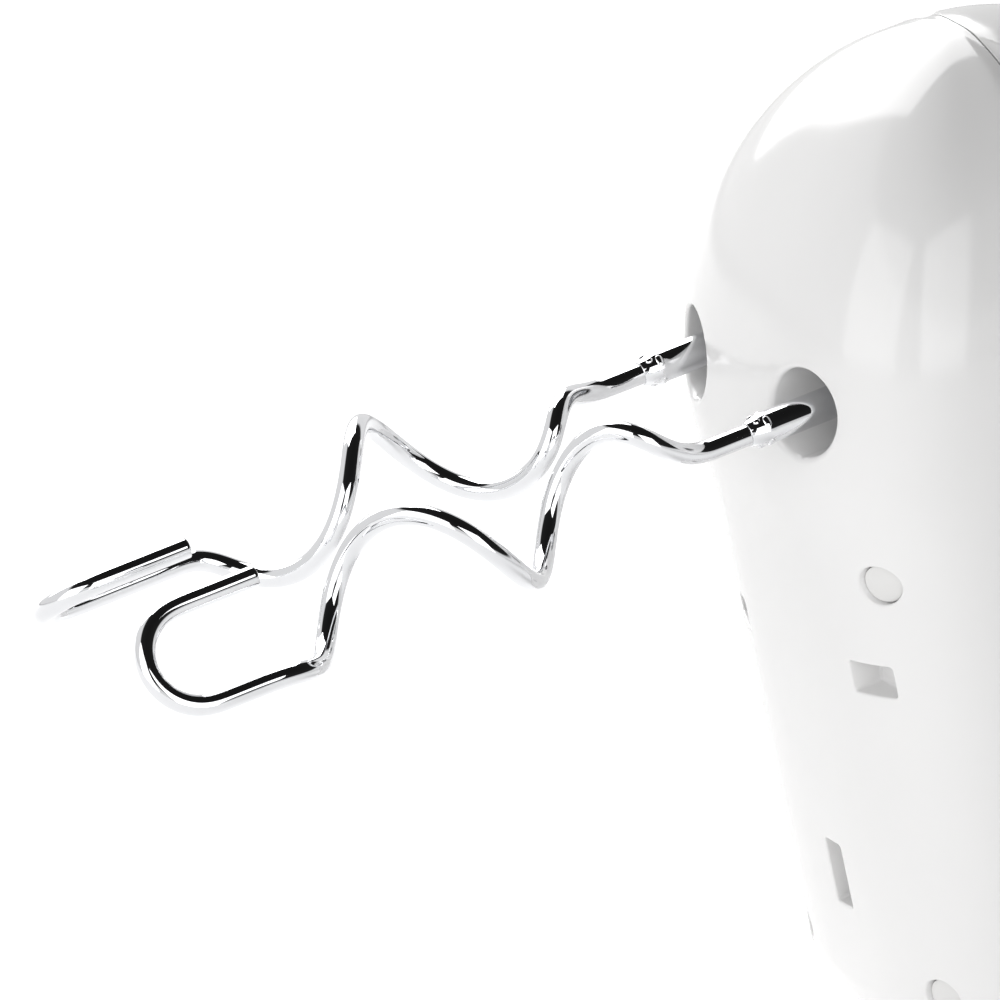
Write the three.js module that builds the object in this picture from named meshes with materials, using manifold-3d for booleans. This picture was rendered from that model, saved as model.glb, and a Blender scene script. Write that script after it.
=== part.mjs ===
// Hand mixer with two wire dough hooks, standing on its heel.
// Millimetres, +Z up. The origin is the middle of the motor housing's flat heel face.
// Pieces are built in the mixer's own axes, then the whole group is leaned onto the heel:
//   x  across the mixer, the two hooks at x = +-HOOK_SPACING / 2
//   y  from the hooks (-y) through the motor housing to the handle (+y); y = 0 is the hook collars
//   z  from the heel (-z) to the nose (+z); z = 0 is the axis of the hook sockets
import * as THREE from 'three';
import { mergeVertices } from 'three/addons/utils/BufferGeometryUtils.js';
import Module from 'manifold-3d';

const wasm = await Module();
wasm.setup();

// ---------------------------------------------------------------- driving dimensions
const LEAN = THREE.MathUtils.degToRad(12.6); // forward lean when the mixer stands on its heel
const HOOK_SPACING = 42;
const WALL = 2.6;
const GAP = 0.3; // smallest gap between neighbouring pieces

// Housing envelope
const FRONT_Y = 5.7; // underside, at the middle
const BACK_Y = 118; // outer face of the handle
const NOSE_Z = -5.4; // level at which the nose dome starts
const NOSE_RADIUS = 58; // side profile of the nose
const NOSE_Y = 62; // y of the nose centre
const HALF_WIDTH = 44;
const GRIP_HALF_WIDTH = 17;
const FRONT_DEPTH = 32.6; // depth of the curved underside
const CURVE_POWER = 2.6; // superellipse power of the cross-section
const NOSE_WIDTH_POWER = 2.15; // superellipse power of the nose seen from the front
const NOSE_DEPTH_POWER = 1.85; // superellipse power of the nose seen from the side
const SIDE_END_Y = 55; // where the sides start to draw in towards the grip
const GRIP_START_Y = 94; // where the sides reach the width of the grip
const BACK_CURVE_Y = 106; // where the outer face of the grip starts to round
const HEEL_DEPTH = 130; // distance from the socket axis down to the floor
const HEEL_RADIUS = 13;
const SOCKET_SWELL = 2.1; // extra height of the underside around the sockets
const SOCKET_SWELL_Z = -13;
const SOCKET_SWELL_LENGTH = 11.5;
const SEAM_Y = 64; // joint plane of the two shells

// Grip opening, a stadium through the loop along x
const OPENING = { yFront: 70, yBack: 96, zBottom: -112, zTop: 12, corner: 12 };

// Sockets and underside details
const SOCKET_RADIUS = 8.25;
const SOCKET_DEPTH_Y = 29.5;
const SOCKET_WALL = 2.2;
const SCREW_UPPER = { x: 31, z: -33.5 };
const SCREW_LOWER = { x: 26, z: -119 };
const SCREW_WELL_RADIUS = 3.9;
const SCREW_SEAT_Y = 52; // where the screw heads bear
const SCREW_HOLE_RADIUS = 1.8;
const SCREW_BITE = 4.2; // length of screw in the handle shell
const PLUG_DEPTH = 1.2; // how far the plug faces lie under the skin
const LATCH = { xInner: 20.2, xOuter: 30.2, zBottom: -56.6, zTop: -50.3, floorY: 13.4 };
const SLOT = { halfWidth: 3, zBottom: -106.2, zTop: -93.2, floorY: 9.8 };
const VENTS = { count: 5, first: -106, pitch: 9, height: 3, yFront: 44, yBack: 56 };

// Drive train
const MOTOR_Y = 44;
const MODULE = 1.1;
const TEETH = 30;
const WHEEL_RADIUS = (MODULE * TEETH) / 2;
const WORM_RADIUS = HOOK_SPACING / 2 - WHEEL_RADIUS;
const WORM_PITCH = Math.PI * MODULE;
const SHAFT_RADIUS = 2;
const SPINDLE_RADIUS = 5.5;

// Hooks. Distances are from the collar towards the tip of the hook.
const WIRE_RADIUS = 2;
const SHANK_RADIUS = 3.1;
const HOOK = {
  helixRadius: 10.5, pitch: 46, bendStart: 11.3, bendLength: 19.2, // corkscrew and the bend into it
  windMiddle: 20.9, windLength: 16, unwindLength: 11.7, // where it starts and stops turning
  tip: 129.1, cutEnd: 102.5, loopRadius: 9.6, // flat return loop
};
// The hooks are of opposite hand and about a quarter turn apart. Angles in degrees.
const HOOK_SHAPE = {
  left: { startAngle: 223.3, helixEnd: 91.8 },
  right: { startAngle: 138.2, helixEnd: 99.6 },
};

// ---------------------------------------------------------------- materials
function material(color, roughness, metalness) {
  return new THREE.MeshStandardMaterial({ color, roughness, metalness });
}

const whitePlastic = material(0xebeaea, 0.22, 0);
const greyPlastic = material(0x8d9093, 0.45, 0);
const darkPlastic = material(0x2b2d30, 0.5, 0);
const softRubber = material(0x55585c, 0.8, 0);
const nylon = material(0xe6e2d3, 0.5, 0);
const chrome = material(0xd8dadc, 0.08, 1);
const steel = material(0x9fa3a7, 0.35, 1);
const lamination = material(0x6a6c70, 0.45, 1);
const copper = material(0xb5672e, 0.35, 1);
const bronze = material(0xa9824a, 0.4, 1);
const carbon = material(0x1d1d1f, 0.7, 0);
const boardGreen = material(0x2c6b3f, 0.5, 0);
const leadJacket = material(0x2a4fa0, 0.55, 0);

// ---------------------------------------------------------------- solids
function toSolid(geometry) {
  const bare = geometry.index ? geometry.toNonIndexed() : geometry.clone();
  bare.deleteAttribute('normal');
  bare.deleteAttribute('uv');
  const merged = mergeVertices(bare, 1e-4);
  const mesh = new wasm.Mesh({
    numProp: 3,
    vertProperties: new Float32Array(merged.attributes.position.array),
    triVerts: new Uint32Array(merged.index.array),
  });
  return new wasm.Manifold(mesh);
}

function toGeometry(solid) {
  const mesh = solid.getMesh();
  const geometry = new THREE.BufferGeometry();
  geometry.setAttribute('position', new THREE.BufferAttribute(mesh.vertProperties, 3));
  geometry.setIndex(new THREE.BufferAttribute(mesh.triVerts, 1));
  geometry.computeVertexNormals();
  return geometry;
}

function box(x0, x1, y0, y1, z0, z1) {
  const geometry = new THREE.BoxGeometry(x1 - x0, y1 - y0, z1 - z0);
  geometry.translate((x0 + x1) / 2, (y0 + y1) / 2, (z0 + z1) / 2);
  return toSolid(geometry);
}

// Turned piece about the y axis: profile is a list of [radius, y] that starts and ends on the axis
// or closes on itself.
function turnedY(profile, segments, x = 0, z = 0) {
  const points = profile.map(([radius, y]) => new THREE.Vector2(radius, y));
  const geometry = new THREE.LatheGeometry(points, segments);
  geometry.translate(x, 0, z);
  return orientOutwards(geometry);
}

// Turned piece about an axis parallel to z, through (x, y): profile is a list of [radius, z].
function turnedZ(profile, segments, x = 0, y = MOTOR_Y) {
  const points = profile.map(([radius, z]) => new THREE.Vector2(radius, z));
  const geometry = new THREE.LatheGeometry(points, segments);
  geometry.rotateX(Math.PI / 2);
  geometry.translate(x, y, 0);
  return orientOutwards(geometry);
}

function orientOutwards(geometry) {
  const solid = toSolid(geometry);
  if (solid.volume() > 0) {
    return solid;
  }
  return toSolid(flipped(geometry));
}

function flipped(geometry) {
  const index = Array.from(geometry.index.array);
  for (let i = 0; i < index.length; i += 3) {
    [index[i], index[i + 1]] = [index[i + 1], index[i]];
  }
  const turned = geometry.clone();
  turned.setIndex(index);
  return turned;
}

function rod(radius, y0, y1, segments, x = 0, z = 0) {
  return turnedY([[0, y0], [radius, y0], [radius, y1], [0, y1]], segments, x, z);
}

function ringZ(inner, outer, z0, z1, segments) {
  return turnedZ([[inner, z0], [outer, z0], [outer, z1], [inner, z1], [inner, z0]], segments);
}

// Closed skin over rings that all have the same number of points.
function loft(rings) {
  const count = rings[0].length;
  const positions = rings.flat().flatMap((p) => [p.x, p.y, p.z]);
  const faces = [];
  for (let r = 0; r + 1 < rings.length; r += 1) {
    for (let i = 0; i < count; i += 1) {
      const j = (i + 1) % count;
      const a = r * count + i;
      const b = r * count + j;
      faces.push(a, b, b + count, a, b + count, a + count);
    }
  }
  for (const r of [0, rings.length - 1]) {
    const middle = new THREE.Vector3();
    rings[r].forEach((p) => middle.addScaledVector(p, 1 / count));
    const centre = positions.length / 3;
    positions.push(middle.x, middle.y, middle.z);
    for (let i = 0; i < count; i += 1) {
      const a = r * count + i;
      const b = r * count + ((i + 1) % count);
      faces.push(...(r === 0 ? [b, a, centre] : [a, b, centre]));
    }
  }
  const geometry = new THREE.BufferGeometry();
  geometry.setAttribute('position', new THREE.Float32BufferAttribute(positions, 3));
  geometry.setIndex(faces);
  return orientOutwards(geometry);
}

// Round bar along a list of points, closed at both ends.
function bar(points, radius, sides, steps) {
  const path = new THREE.CatmullRomCurve3(points, false, 'centripetal');
  const outline = new THREE.Shape();
  for (let i = 0; i < sides; i += 1) {
    const angle = (2 * Math.PI * i) / sides;
    const place = i === 0 ? 'moveTo' : 'lineTo';
    outline[place](radius * Math.cos(angle), radius * Math.sin(angle));
  }
  outline.closePath();
  return orientOutwards(new THREE.ExtrudeGeometry(outline, { steps, extrudePath: path }));
}

// Plate cut from an outline in the x-y plane, reaching from z0 to z1.
function plateZ(shape, z0, z1, curveSegments) {
  const settings = { depth: z1 - z0, bevelEnabled: false, curveSegments };
  const geometry = new THREE.ExtrudeGeometry(shape, settings);
  geometry.translate(0, 0, z0);
  return orientOutwards(geometry);
}

// Plate cut from an outline in the x-z plane, reaching from y0 to y1.
function plateY(shape, y0, y1, curveSegments) {
  const settings = { depth: y1 - y0, bevelEnabled: false, curveSegments };
  const geometry = new THREE.ExtrudeGeometry(shape, settings);
  geometry.rotateX(Math.PI / 2);
  geometry.translate(0, y1, 0);
  return orientOutwards(geometry);
}

function roundedRectangle(x0, x1, y0, y1, corner) {
  const shape = new THREE.Shape();
  shape.moveTo(x0 + corner, y0);
  shape.lineTo(x1 - corner, y0);
  shape.absarc(x1 - corner, y0 + corner, corner, -Math.PI / 2, 0);
  shape.lineTo(x1, y1 - corner);
  shape.absarc(x1 - corner, y1 - corner, corner, 0, Math.PI / 2);
  shape.lineTo(x0 + corner, y1);
  shape.absarc(x0 + corner, y1 - corner, corner, Math.PI / 2, Math.PI);
  shape.lineTo(x0, y0 + corner);
  shape.absarc(x0 + corner, y0 + corner, corner, Math.PI, 1.5 * Math.PI);
  return shape;
}

// ---------------------------------------------------------------- housing envelope
function smooth(t) {
  const s = THREE.MathUtils.clamp(t, 0, 1);
  return s * s * (3 - 2 * s);
}

// Half of the cross-section at the socket level, from the middle of the underside to the middle of
// the handle, as points (x, y) with x >= 0.
function halfSection() {
  const points = [];
  const frontSteps = 7;
  const sideLevels = [SIDE_END_Y, 62, 70, 78, 86, GRIP_START_Y, BACK_CURVE_Y];
  const backSteps = 3;
  for (let i = 0; i <= frontSteps; i += 1) {
    const angle = (Math.PI / 2) * (i / frontSteps);
    const x = HALF_WIDTH * Math.sin(angle) ** (2 / CURVE_POWER);
    const y = FRONT_Y + FRONT_DEPTH * (1 - Math.cos(angle) ** (2 / CURVE_POWER));
    points.push(new THREE.Vector2(x, y));
  }
  const drawIn = HALF_WIDTH - GRIP_HALF_WIDTH;
  for (const y of sideLevels) {
    const share = smooth((y - SIDE_END_Y) / (GRIP_START_Y - SIDE_END_Y));
    points.push(new THREE.Vector2(HALF_WIDTH - drawIn * share, y));
  }
  const backDepth = BACK_Y - BACK_CURVE_Y;
  for (let i = 1; i <= backSteps; i += 1) {
    const angle = (Math.PI / 2) * (i / backSteps);
    const x = GRIP_HALF_WIDTH * Math.cos(angle) ** (2 / CURVE_POWER);
    const y = BACK_CURVE_Y + backDepth * Math.sin(angle) ** (2 / CURVE_POWER);
    points.push(new THREE.Vector2(i === backSteps ? 0 : x, y));
  }
  return points;
}

// The same half-section moved inwards by a distance (outwards when it is negative).
function insetHalf(distance) {
  const half = halfSection();
  return half.map((p, i) => {
    const before = i === 0 ? new THREE.Vector2(-half[1].x, half[1].y) : half[i - 1];
    const last = half.length - 1;
    const after = i === last ? new THREE.Vector2(-half[last - 1].x, half[last - 1].y) : half[i + 1];
    const along = after.clone().sub(before).normalize();
    return new THREE.Vector2(p.x - along.y * distance, p.y + along.x * distance);
  });
}

function fullSection(inset) {
  const half = insetHalf(inset);
  const mirrored = half.slice(1, -1).reverse().map((p) => new THREE.Vector2(-p.x, p.y));
  return [...half, ...mirrored];
}

// Heights of the floor plane in the mixer's own axes.
function floorZ(y) {
  return (-HEEL_DEPTH - y * Math.sin(LEAN)) / Math.cos(LEAN);
}

const FLOOR_SLOPE = -Math.tan(LEAN);
const NOSE_LAST_ANGLE = THREE.MathUtils.degToRad(86); // the dome ends in a small flat here
const NOSE_SPREAD_Y = 20; // depth over which the back of the dome widens to its oval

// Shrink factor of a superellipse at a share of its height.
function domeFactor(rise, power) {
  return (1 - rise ** power) ** (1 / power);
}

// Solid envelope of the mixer, moved inwards by a wall thickness.
function envelope(inset, noseSteps, heelSteps) {
  const section = fullSection(inset);
  const noseRadius = NOSE_RADIUS - inset;
  const levels = [];
  for (let i = 0; i <= heelSteps; i += 1) {
    const angle = (Math.PI / 2) * (1 - i / heelSteps);
    const shrink = (HEEL_RADIUS - inset) * (1 - Math.cos(angle));
    const rise = (HEEL_RADIUS - inset) * (1 - Math.sin(angle));
    const z = floorZ(NOSE_Y) + inset / Math.cos(LEAN) + rise;
    const [kx, ky] = [1 - shrink / HALF_WIDTH, 1 - shrink / NOSE_RADIUS];
    levels.push({ z, slope: FLOOR_SLOPE, kx, ky, dome: 0 });
  }
  const top = levels.at(-1).z;
  for (const share of [0.35, 0.7, 0.84, 0.92, 1]) {
    const z = THREE.MathUtils.lerp(top, NOSE_Z, share);
    levels.push({ z, slope: FLOOR_SLOPE * (1 - share), kx: 1, ky: 1, dome: 0 });
  }
  for (let i = 1; i <= noseSteps; i += 1) {
    const rise = Math.sin((NOSE_LAST_ANGLE * i) / noseSteps);
    const [kx, ky] = [domeFactor(rise, NOSE_WIDTH_POWER), domeFactor(rise, NOSE_DEPTH_POWER)];
    levels.push({ z: NOSE_Z + noseRadius * rise, slope: 0, kx, ky, dome: rise ** 2 });
  }
  return loft(levels.map((level) => section.map((p) => envelopePoint(p, level))));
}

// Half-width of a plain oval section at the level of p: the nose dome ends in this outline.
function domeHalfWidth(p) {
  if (p.y <= NOSE_Y) {
    return Math.abs(p.x);
  }
  const share = Math.min(1, (p.y - NOSE_Y) / (BACK_Y - NOSE_Y));
  const oval = HALF_WIDTH * domeFactor(share, NOSE_WIDTH_POWER);
  return THREE.MathUtils.lerp(Math.abs(p.x), oval, smooth((p.y - NOSE_Y) / NOSE_SPREAD_Y));
}

function envelopePoint(p, level) {
  const y = NOSE_Y + (p.y - NOSE_Y) * level.ky;
  const frontShare = THREE.MathUtils.clamp((FRONT_Y + FRONT_DEPTH - p.y) / FRONT_DEPTH, 0, 1);
  const swell = SOCKET_SWELL * Math.exp(-(((level.z - SOCKET_SWELL_Z) / SOCKET_SWELL_LENGTH) ** 2));
  const z = level.z + level.slope * (y - NOSE_Y);
  const x = THREE.MathUtils.lerp(p.x, Math.sign(p.x) * domeHalfWidth(p), level.dome);
  return new THREE.Vector3(x * level.kx, y - swell * frontShare, z);
}

const EJECT_RISE = 3; // height of the eject button above the skin
const outerEnvelope = envelope(0, 8, 4);
const innerEnvelope = envelope(WALL, 5, 2);
const proudEnvelope = envelope(-EJECT_RISE, 8, 2);

function openingShape(grow) {
  const { yFront, yBack, zBottom, zTop, corner } = OPENING;
  const shape = roundedRectangle(
    yFront - grow, yBack + grow, zBottom - grow, zTop + grow, corner + grow,
  );
  const reach = HALF_WIDTH + 16;
  const settings = { depth: 2 * reach, bevelEnabled: false, curveSegments: 6 };
  const geometry = new THREE.ExtrudeGeometry(shape, settings);
  geometry.translate(0, 0, -reach);
  geometry.rotateX(Math.PI / 2);
  geometry.rotateZ(Math.PI / 2);
  return orientOutwards(geometry);
}

const SIDES = [
  { name: 'left', sign: -1 },
  { name: 'right', sign: 1 },
];

const SCREW_PLACES = [
  { name: 'upper_left', x: -SCREW_UPPER.x, z: SCREW_UPPER.z },
  { name: 'upper_right', x: SCREW_UPPER.x, z: SCREW_UPPER.z },
  { name: 'lower_left', x: -SCREW_LOWER.x, z: SCREW_LOWER.z },
  { name: 'lower_right', x: SCREW_LOWER.x, z: SCREW_LOWER.z },
];

// y of the underside at a distance x from the middle.
function undersideY(x) {
  return FRONT_Y + FRONT_DEPTH * (1 - domeFactor(Math.abs(x) / HALF_WIDTH, CURVE_POWER));
}

// ---------------------------------------------------------------- shells
const LEDGE = 2.4; // thickness of plastic left behind a recess
const BORDER = 2; // width of plastic round a recess

// Adds a block behind a recess in the underside and cuts the recess.
function letIn(shell, skin, x0, x1, { zBottom, zTop, floorY }) {
  const block = box(
    x0 - BORDER, x1 + BORDER, 0, floorY + LEDGE, zBottom - BORDER, zTop + BORDER,
  );
  return shell.add(block.intersect(skin)).subtract(box(x0, x1, -5, floorY, zBottom, zTop));
}

function motorHousing() {
  const front = box(-60, 60, -20, SEAM_Y - GAP, -170, 70);
  const skin = outerEnvelope.intersect(front);
  let shell = skin.subtract(innerEnvelope);
  for (const { sign } of SIDES) {
    const x = (sign * HOOK_SPACING) / 2;
    const tube = rod(SOCKET_RADIUS + SOCKET_WALL, 3, SOCKET_DEPTH_Y + 2, 18, x);
    shell = shell.add(tube.intersect(skin));
    shell = shell.subtract(rod(SOCKET_RADIUS, -10, SOCKET_DEPTH_Y, 24, x));
    shell = shell.subtract(rod(SPINDLE_RADIUS + 0.8, 20, 40, 16, x));
    const [x0, x1] = [sign * LATCH.xInner, sign * LATCH.xOuter].sort((a, b) => a - b);
    shell = letIn(shell, skin, x0, x1, LATCH);
    for (let i = 0; i < VENTS.count; i += 1) {
      const z = VENTS.first + i * VENTS.pitch;
      const [near, far] = [sign * 30, sign * 60].sort((a, b) => a - b);
      shell = shell.subtract(box(near, far, VENTS.yFront, VENTS.yBack, z, z + VENTS.height));
    }
  }
  shell = letIn(shell, skin, -SLOT.halfWidth, SLOT.halfWidth, SLOT);
  // A drain hole low in the slot.
  shell = shell.subtract(rod(0.9, 6, 14, 6, 1.6, SLOT.zBottom + 1.8));
  for (const { x, z } of SCREW_PLACES) {
    const mouth = undersideY(x);
    const pillar = rod(SCREW_WELL_RADIUS + 1.6, mouth - 4, SEAM_Y - GAP, 10, x, z);
    shell = shell.add(pillar.intersect(skin));
    shell = shell.subtract(rod(SCREW_WELL_RADIUS, mouth - 8, SCREW_SEAT_Y, 16, x, z));
    shell = shell.subtract(rod(SCREW_HOLE_RADIUS, SCREW_SEAT_Y - 1, SEAM_Y + 2, 8, x, z));
  }
  return shell;
}

const SELECTOR = { halfWidth: 2.5, zBottom: -34, zTop: -8 };
const TURBO = { z: -50, radius: 5 };
const EJECT = { z: 27, radius: 8, rodRadius: 2.4 };
const INLET = { z: -138, radius: 5.6 };

function handleHousing() {
  const back = box(-60, 60, SEAM_Y, 140, -190, 70);
  const cavity = innerEnvelope.subtract(openingShape(WALL));
  const raised = outerEnvelope.intersect(back).subtract(openingShape(0));
  let shell = raised.subtract(cavity);
  for (const { x, z } of SCREW_PLACES) {
    const boss = rod(4.6, SEAM_Y, SEAM_Y + SCREW_BITE + 3, 10, x, z);
    shell = shell.add(boss.intersect(raised));
    shell = shell.subtract(rod(SCREW_HOLE_RADIUS, SEAM_Y - 1, SEAM_Y + SCREW_BITE + 0.5, 8, x, z));
  }
  const slotHalf = SELECTOR.halfWidth + 0.5;
  shell = shell.subtract(box(-slotHalf, slotHalf, 110, 125, SELECTOR.zBottom, SELECTOR.zTop));
  shell = shell.subtract(rod(TURBO.radius + 0.4, 108, 125, 24, 0, TURBO.z));
  shell = shell.subtract(rod(EJECT.radius + 0.4, 85, 125, 24, 0, EJECT.z));
  shell = shell.subtract(rod(INLET.radius, 108, 125, 20, 0, INLET.z));
  const shelf = box(-30, 30, SEAM_Y, SEAM_Y + 2, OPENING.zTop + 2, 60).intersect(raised);
  return shell.add(shelf.subtract(rod(EJECT.rodRadius + 0.5, 60, 70, 12, 0, EJECT.z)));
}

function gripPad() {
  const { yBack, zBottom, zTop, corner } = OPENING;
  const shape = roundedRectangle(-11, 11, zBottom + corner + 1, zTop - corner - 1, 5);
  return plateY(shape, yBack - GAP - 1.5, yBack - GAP, 4);
}

function cordInlet() {
  const bore = 3.6;
  const sleeve = INLET.radius - GAP;
  const collar = sleeve + 1.6;
  return turnedY([
    [bore, 109], [sleeve, 109], [sleeve, 118.6], [collar, 118.6], [collar, 121], [bore, 121],
    [bore, 109],
  ], 20, 0, INLET.z);
}

// ---------------------------------------------------------------- controls
function speedSelector() {
  const foot = box(-6, 6, 111.2, 114.4, SELECTOR.zBottom - 1, SELECTOR.zBottom + 13);
  const neck = box(-2.5, 2.5, 113, 120, SELECTOR.zBottom + 0.5, SELECTOR.zBottom + 11);
  const capShape = roundedRectangle(-6.5, 6.5, SELECTOR.zBottom - 0.5, SELECTOR.zBottom + 12, 4);
  let solid = foot.add(neck).add(plateY(capShape, 118.6, 121.4, 4));
  for (let i = 0; i < 3; i += 1) {
    const z = SELECTOR.zBottom + 3.2 + i * 2.4;
    solid = solid.subtract(box(-4.5, 4.5, 120.8, 123, z, z + 1));
  }
  return solid;
}

function turboButton() {
  const flange = TURBO.radius + 1.6;
  return turnedY([
    [0, 111], [flange, 111], [flange, 113.4], [TURBO.radius, 113.4], [TURBO.radius, 119.6],
    [TURBO.radius - 0.9, 120.4], [0, 120.6],
  ], 24, 0, TURBO.z);
}

const EJECTOR_Y = 60.2; // face of the ejector plate that carries the pins
const ROD_COLLAR_Y = 91; // face of the rod collar that the return spring pushes

function ejectButton() {
  const head = rod(EJECT.radius, 98, 125, 24, 0, EJECT.z).intersect(proudEnvelope);
  const [r, collar] = [EJECT.rodRadius, 5];
  const [end, collarEnd] = [EJECTOR_Y + 2.5 + GAP, ROD_COLLAR_Y + 1.5];
  const stem = turnedY([
    [0, end], [r, end], [r, ROD_COLLAR_Y], [collar, ROD_COLLAR_Y], [collar, collarEnd],
    [r, collarEnd], [r, 99], [0, 99],
  ], 12, 0, EJECT.z);
  return head.add(stem);
}

function ejectorPlate() {
  const shape = new THREE.Shape();
  shape.moveTo(-26, -4);
  shape.lineTo(26, -4);
  shape.lineTo(26, 5);
  shape.lineTo(6, 31.5);
  shape.lineTo(-6, 31.5);
  shape.lineTo(-26, 5);
  shape.closePath();
  let solid = plateY(shape, EJECTOR_Y, EJECTOR_Y + 2.5, 1);
  for (const { sign } of SIDES) {
    solid = solid.add(rod(1.9, 53, EJECTOR_Y + 1, 8, (sign * HOOK_SPACING) / 2));
  }
  return solid;
}

function coilSpring(radius, wire, start, length, turns, steps, place) {
  const points = [];
  for (let i = 0; i <= steps; i += 1) {
    const angle = (2 * Math.PI * turns * i) / steps;
    const along = start + (length * i) / steps;
    points.push(place(radius * Math.cos(angle), along, radius * Math.sin(angle)));
  }
  return bar(points, wire, 4, steps);
}

function ejectorSpring() {
  const place = (a, along, b) => new THREE.Vector3(a, along, EJECT.z + b);
  return coilSpring(3.8, 0.4, SEAM_Y + 2.8, 17, 5, 45, place);
}

// ---------------------------------------------------------------- motor
const STACK = { z0: -76, z1: -44 };
const POLE_HALF = 10.5;
const BORE = 13.9;

function statorCore() {
  const shape = roundedRectangle(-23.5, 23.5, MOTOR_Y - 19.8, MOTOR_Y + 19.8, 5);
  const hole = new THREE.Path();
  const poleAngle = Math.acos(POLE_HALF / BORE);
  const [windowX, windowY] = [20.8, 16.4];
  hole.moveTo(windowX, MOTOR_Y - windowY);
  hole.lineTo(windowX, MOTOR_Y + windowY);
  hole.lineTo(POLE_HALF, MOTOR_Y + windowY);
  hole.absarc(0, MOTOR_Y, BORE, poleAngle, Math.PI - poleAngle);
  hole.lineTo(-POLE_HALF, MOTOR_Y + windowY);
  hole.lineTo(-windowX, MOTOR_Y + windowY);
  hole.lineTo(-windowX, MOTOR_Y - windowY);
  hole.lineTo(-POLE_HALF, MOTOR_Y - windowY);
  hole.absarc(0, MOTOR_Y, BORE, Math.PI + poleAngle, 2 * Math.PI - poleAngle);
  hole.lineTo(POLE_HALF, MOTOR_Y - windowY);
  hole.closePath();
  shape.holes.push(hole);
  return plateZ(shape, STACK.z0, STACK.z1, 8);
}

function fieldCoil(sign) {
  const [near, far] = [MOTOR_Y + sign * 10, MOTOR_Y + sign * 16].sort((a, b) => a - b);
  const outline = roundedRectangle(-20.4, 20.4, STACK.z0 - 7, STACK.z1 + 7, 6);
  const inside = POLE_HALF + 0.4;
  const opening = roundedRectangle(-inside, inside, STACK.z0 - 0.4, STACK.z1 + 0.4, 1);
  outline.holes.push(opening);
  return plateY(outline, near, far, 2).subtract(turnedZ(rodProfile(14.2, -100, -20), 16));
}

function armatureCore() {
  const slots = 12;
  const shape = new THREE.Shape();
  for (let i = 0; i < slots; i += 1) {
    const middle = (2 * Math.PI * i) / slots;
    for (const [angle, radius] of [[-0.2, 8.6], [-0.17, 13], [0, 13.2], [0.17, 13], [0.2, 8.6]]) {
      const place = i === 0 && angle === -0.2 ? 'moveTo' : 'lineTo';
      shape[place](radius * Math.cos(middle + angle), MOTOR_Y + radius * Math.sin(middle + angle));
    }
  }
  shape.closePath();
  const bore = turnedZ(rodProfile(SHAFT_RADIUS + GAP, -90, -30), 10);
  return plateZ(shape, STACK.z0, STACK.z1, 1).subtract(bore);
}

function rodProfile(radius, z0, z1) {
  return [[0, z0], [radius, z0], [radius, z1], [0, z1]];
}

function armatureWinding(z0, z1) {
  const inner = SHAFT_RADIUS + GAP;
  const middle = (z0 + z1) / 2;
  return turnedZ([[inner, z0], [9.5, z0], [12, middle], [9.5, z1], [inner, z1], [inner, z0]], 14);
}

function commutator() {
  let solid = ringZ(SHAFT_RADIUS + GAP, 7, -98, -86, 12);
  const bars = 12;
  for (let i = 0; i < bars; i += 1) {
    const angle = (2 * Math.PI * i) / bars;
    const groove = new THREE.BoxGeometry(1.6, 0.5, 16);
    groove.translate(7.2, 0, -92);
    groove.rotateZ(angle);
    groove.translate(0, MOTOR_Y, 0);
    solid = solid.subtract(toSolid(groove));
  }
  return solid;
}

function motorShaft() {
  const r = SHAFT_RADIUS;
  return turnedZ([[0, -116], [r - 0.5, -116], [r, -115.5], [r, 18.5], [r - 0.5, 19], [0, 19]], 12);
}

// Worm: a sleeve whose surface rises to the crest and falls to the root once per turn.
function worm() {
  const [z0, z1] = [-8.6, 8.6];
  const [root, crest] = [WORM_RADIUS - 1.3, WORM_RADIUS + 0.9];
  const flank = 0.13; // share of the pitch over which the thread rises
  const around = 10;
  const perPitch = 5;
  const steps = Math.round(((z1 - z0) / WORM_PITCH) * perPitch);
  const rings = [];
  for (let i = 0; i <= steps; i += 1) {
    const z = z0 + ((z1 - z0) * i) / steps;
    const ring = [];
    for (let j = 0; j < around; j += 1) {
      const angle = (2 * Math.PI * j) / around;
      const turn = z / WORM_PITCH - j / around - 0.5;
      const fromCrest = Math.abs(turn - Math.round(turn));
      const ends = Math.min(1, (z - z0) / 1.2, (z1 - z) / 1.2);
      const height = THREE.MathUtils.clamp((0.25 - fromCrest) / flank, 0, 1) * ends;
      const radius = THREE.MathUtils.lerp(root, crest, height);
      ring.push(new THREE.Vector3(radius * Math.cos(angle), MOTOR_Y + radius * Math.sin(angle), z));
    }
    rings.push(ring);
  }
  return loft(rings).subtract(turnedZ(rodProfile(SHAFT_RADIUS + GAP, -20, 20), 12));
}

function coolingFan() {
  let solid = turnedZ([
    [0, -34], [17, -34], [17, -32.8], [5, -32.8], [5, -24], [0, -24],
  ], 18);
  const blades = 7;
  for (let i = 0; i < blades; i += 1) {
    const blade = new THREE.BoxGeometry(12, 1.1, 7);
    blade.translate(10, 0, -29.6);
    blade.rotateZ((2 * Math.PI * i) / blades);
    blade.translate(0, MOTOR_Y, 0);
    solid = solid.add(toSolid(blade));
  }
  return solid.subtract(turnedZ(rodProfile(SHAFT_RADIUS + GAP, -40, -20), 10));
}

function bearing(z0, z1) {
  return ringZ(SHAFT_RADIUS + GAP, 4.4, z0, z1, 12);
}

function bearingSeat(z0, z1) {
  return turnedZ(rodProfile(4.4 + GAP, z0, z1), 12);
}

const REAR_BEARING = [-112, -105];
const FRONT_BEARING = [-20, -14];
const NOSE_BEARING = [11, 16.5];
const BRUSH_Z = -92;

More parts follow.
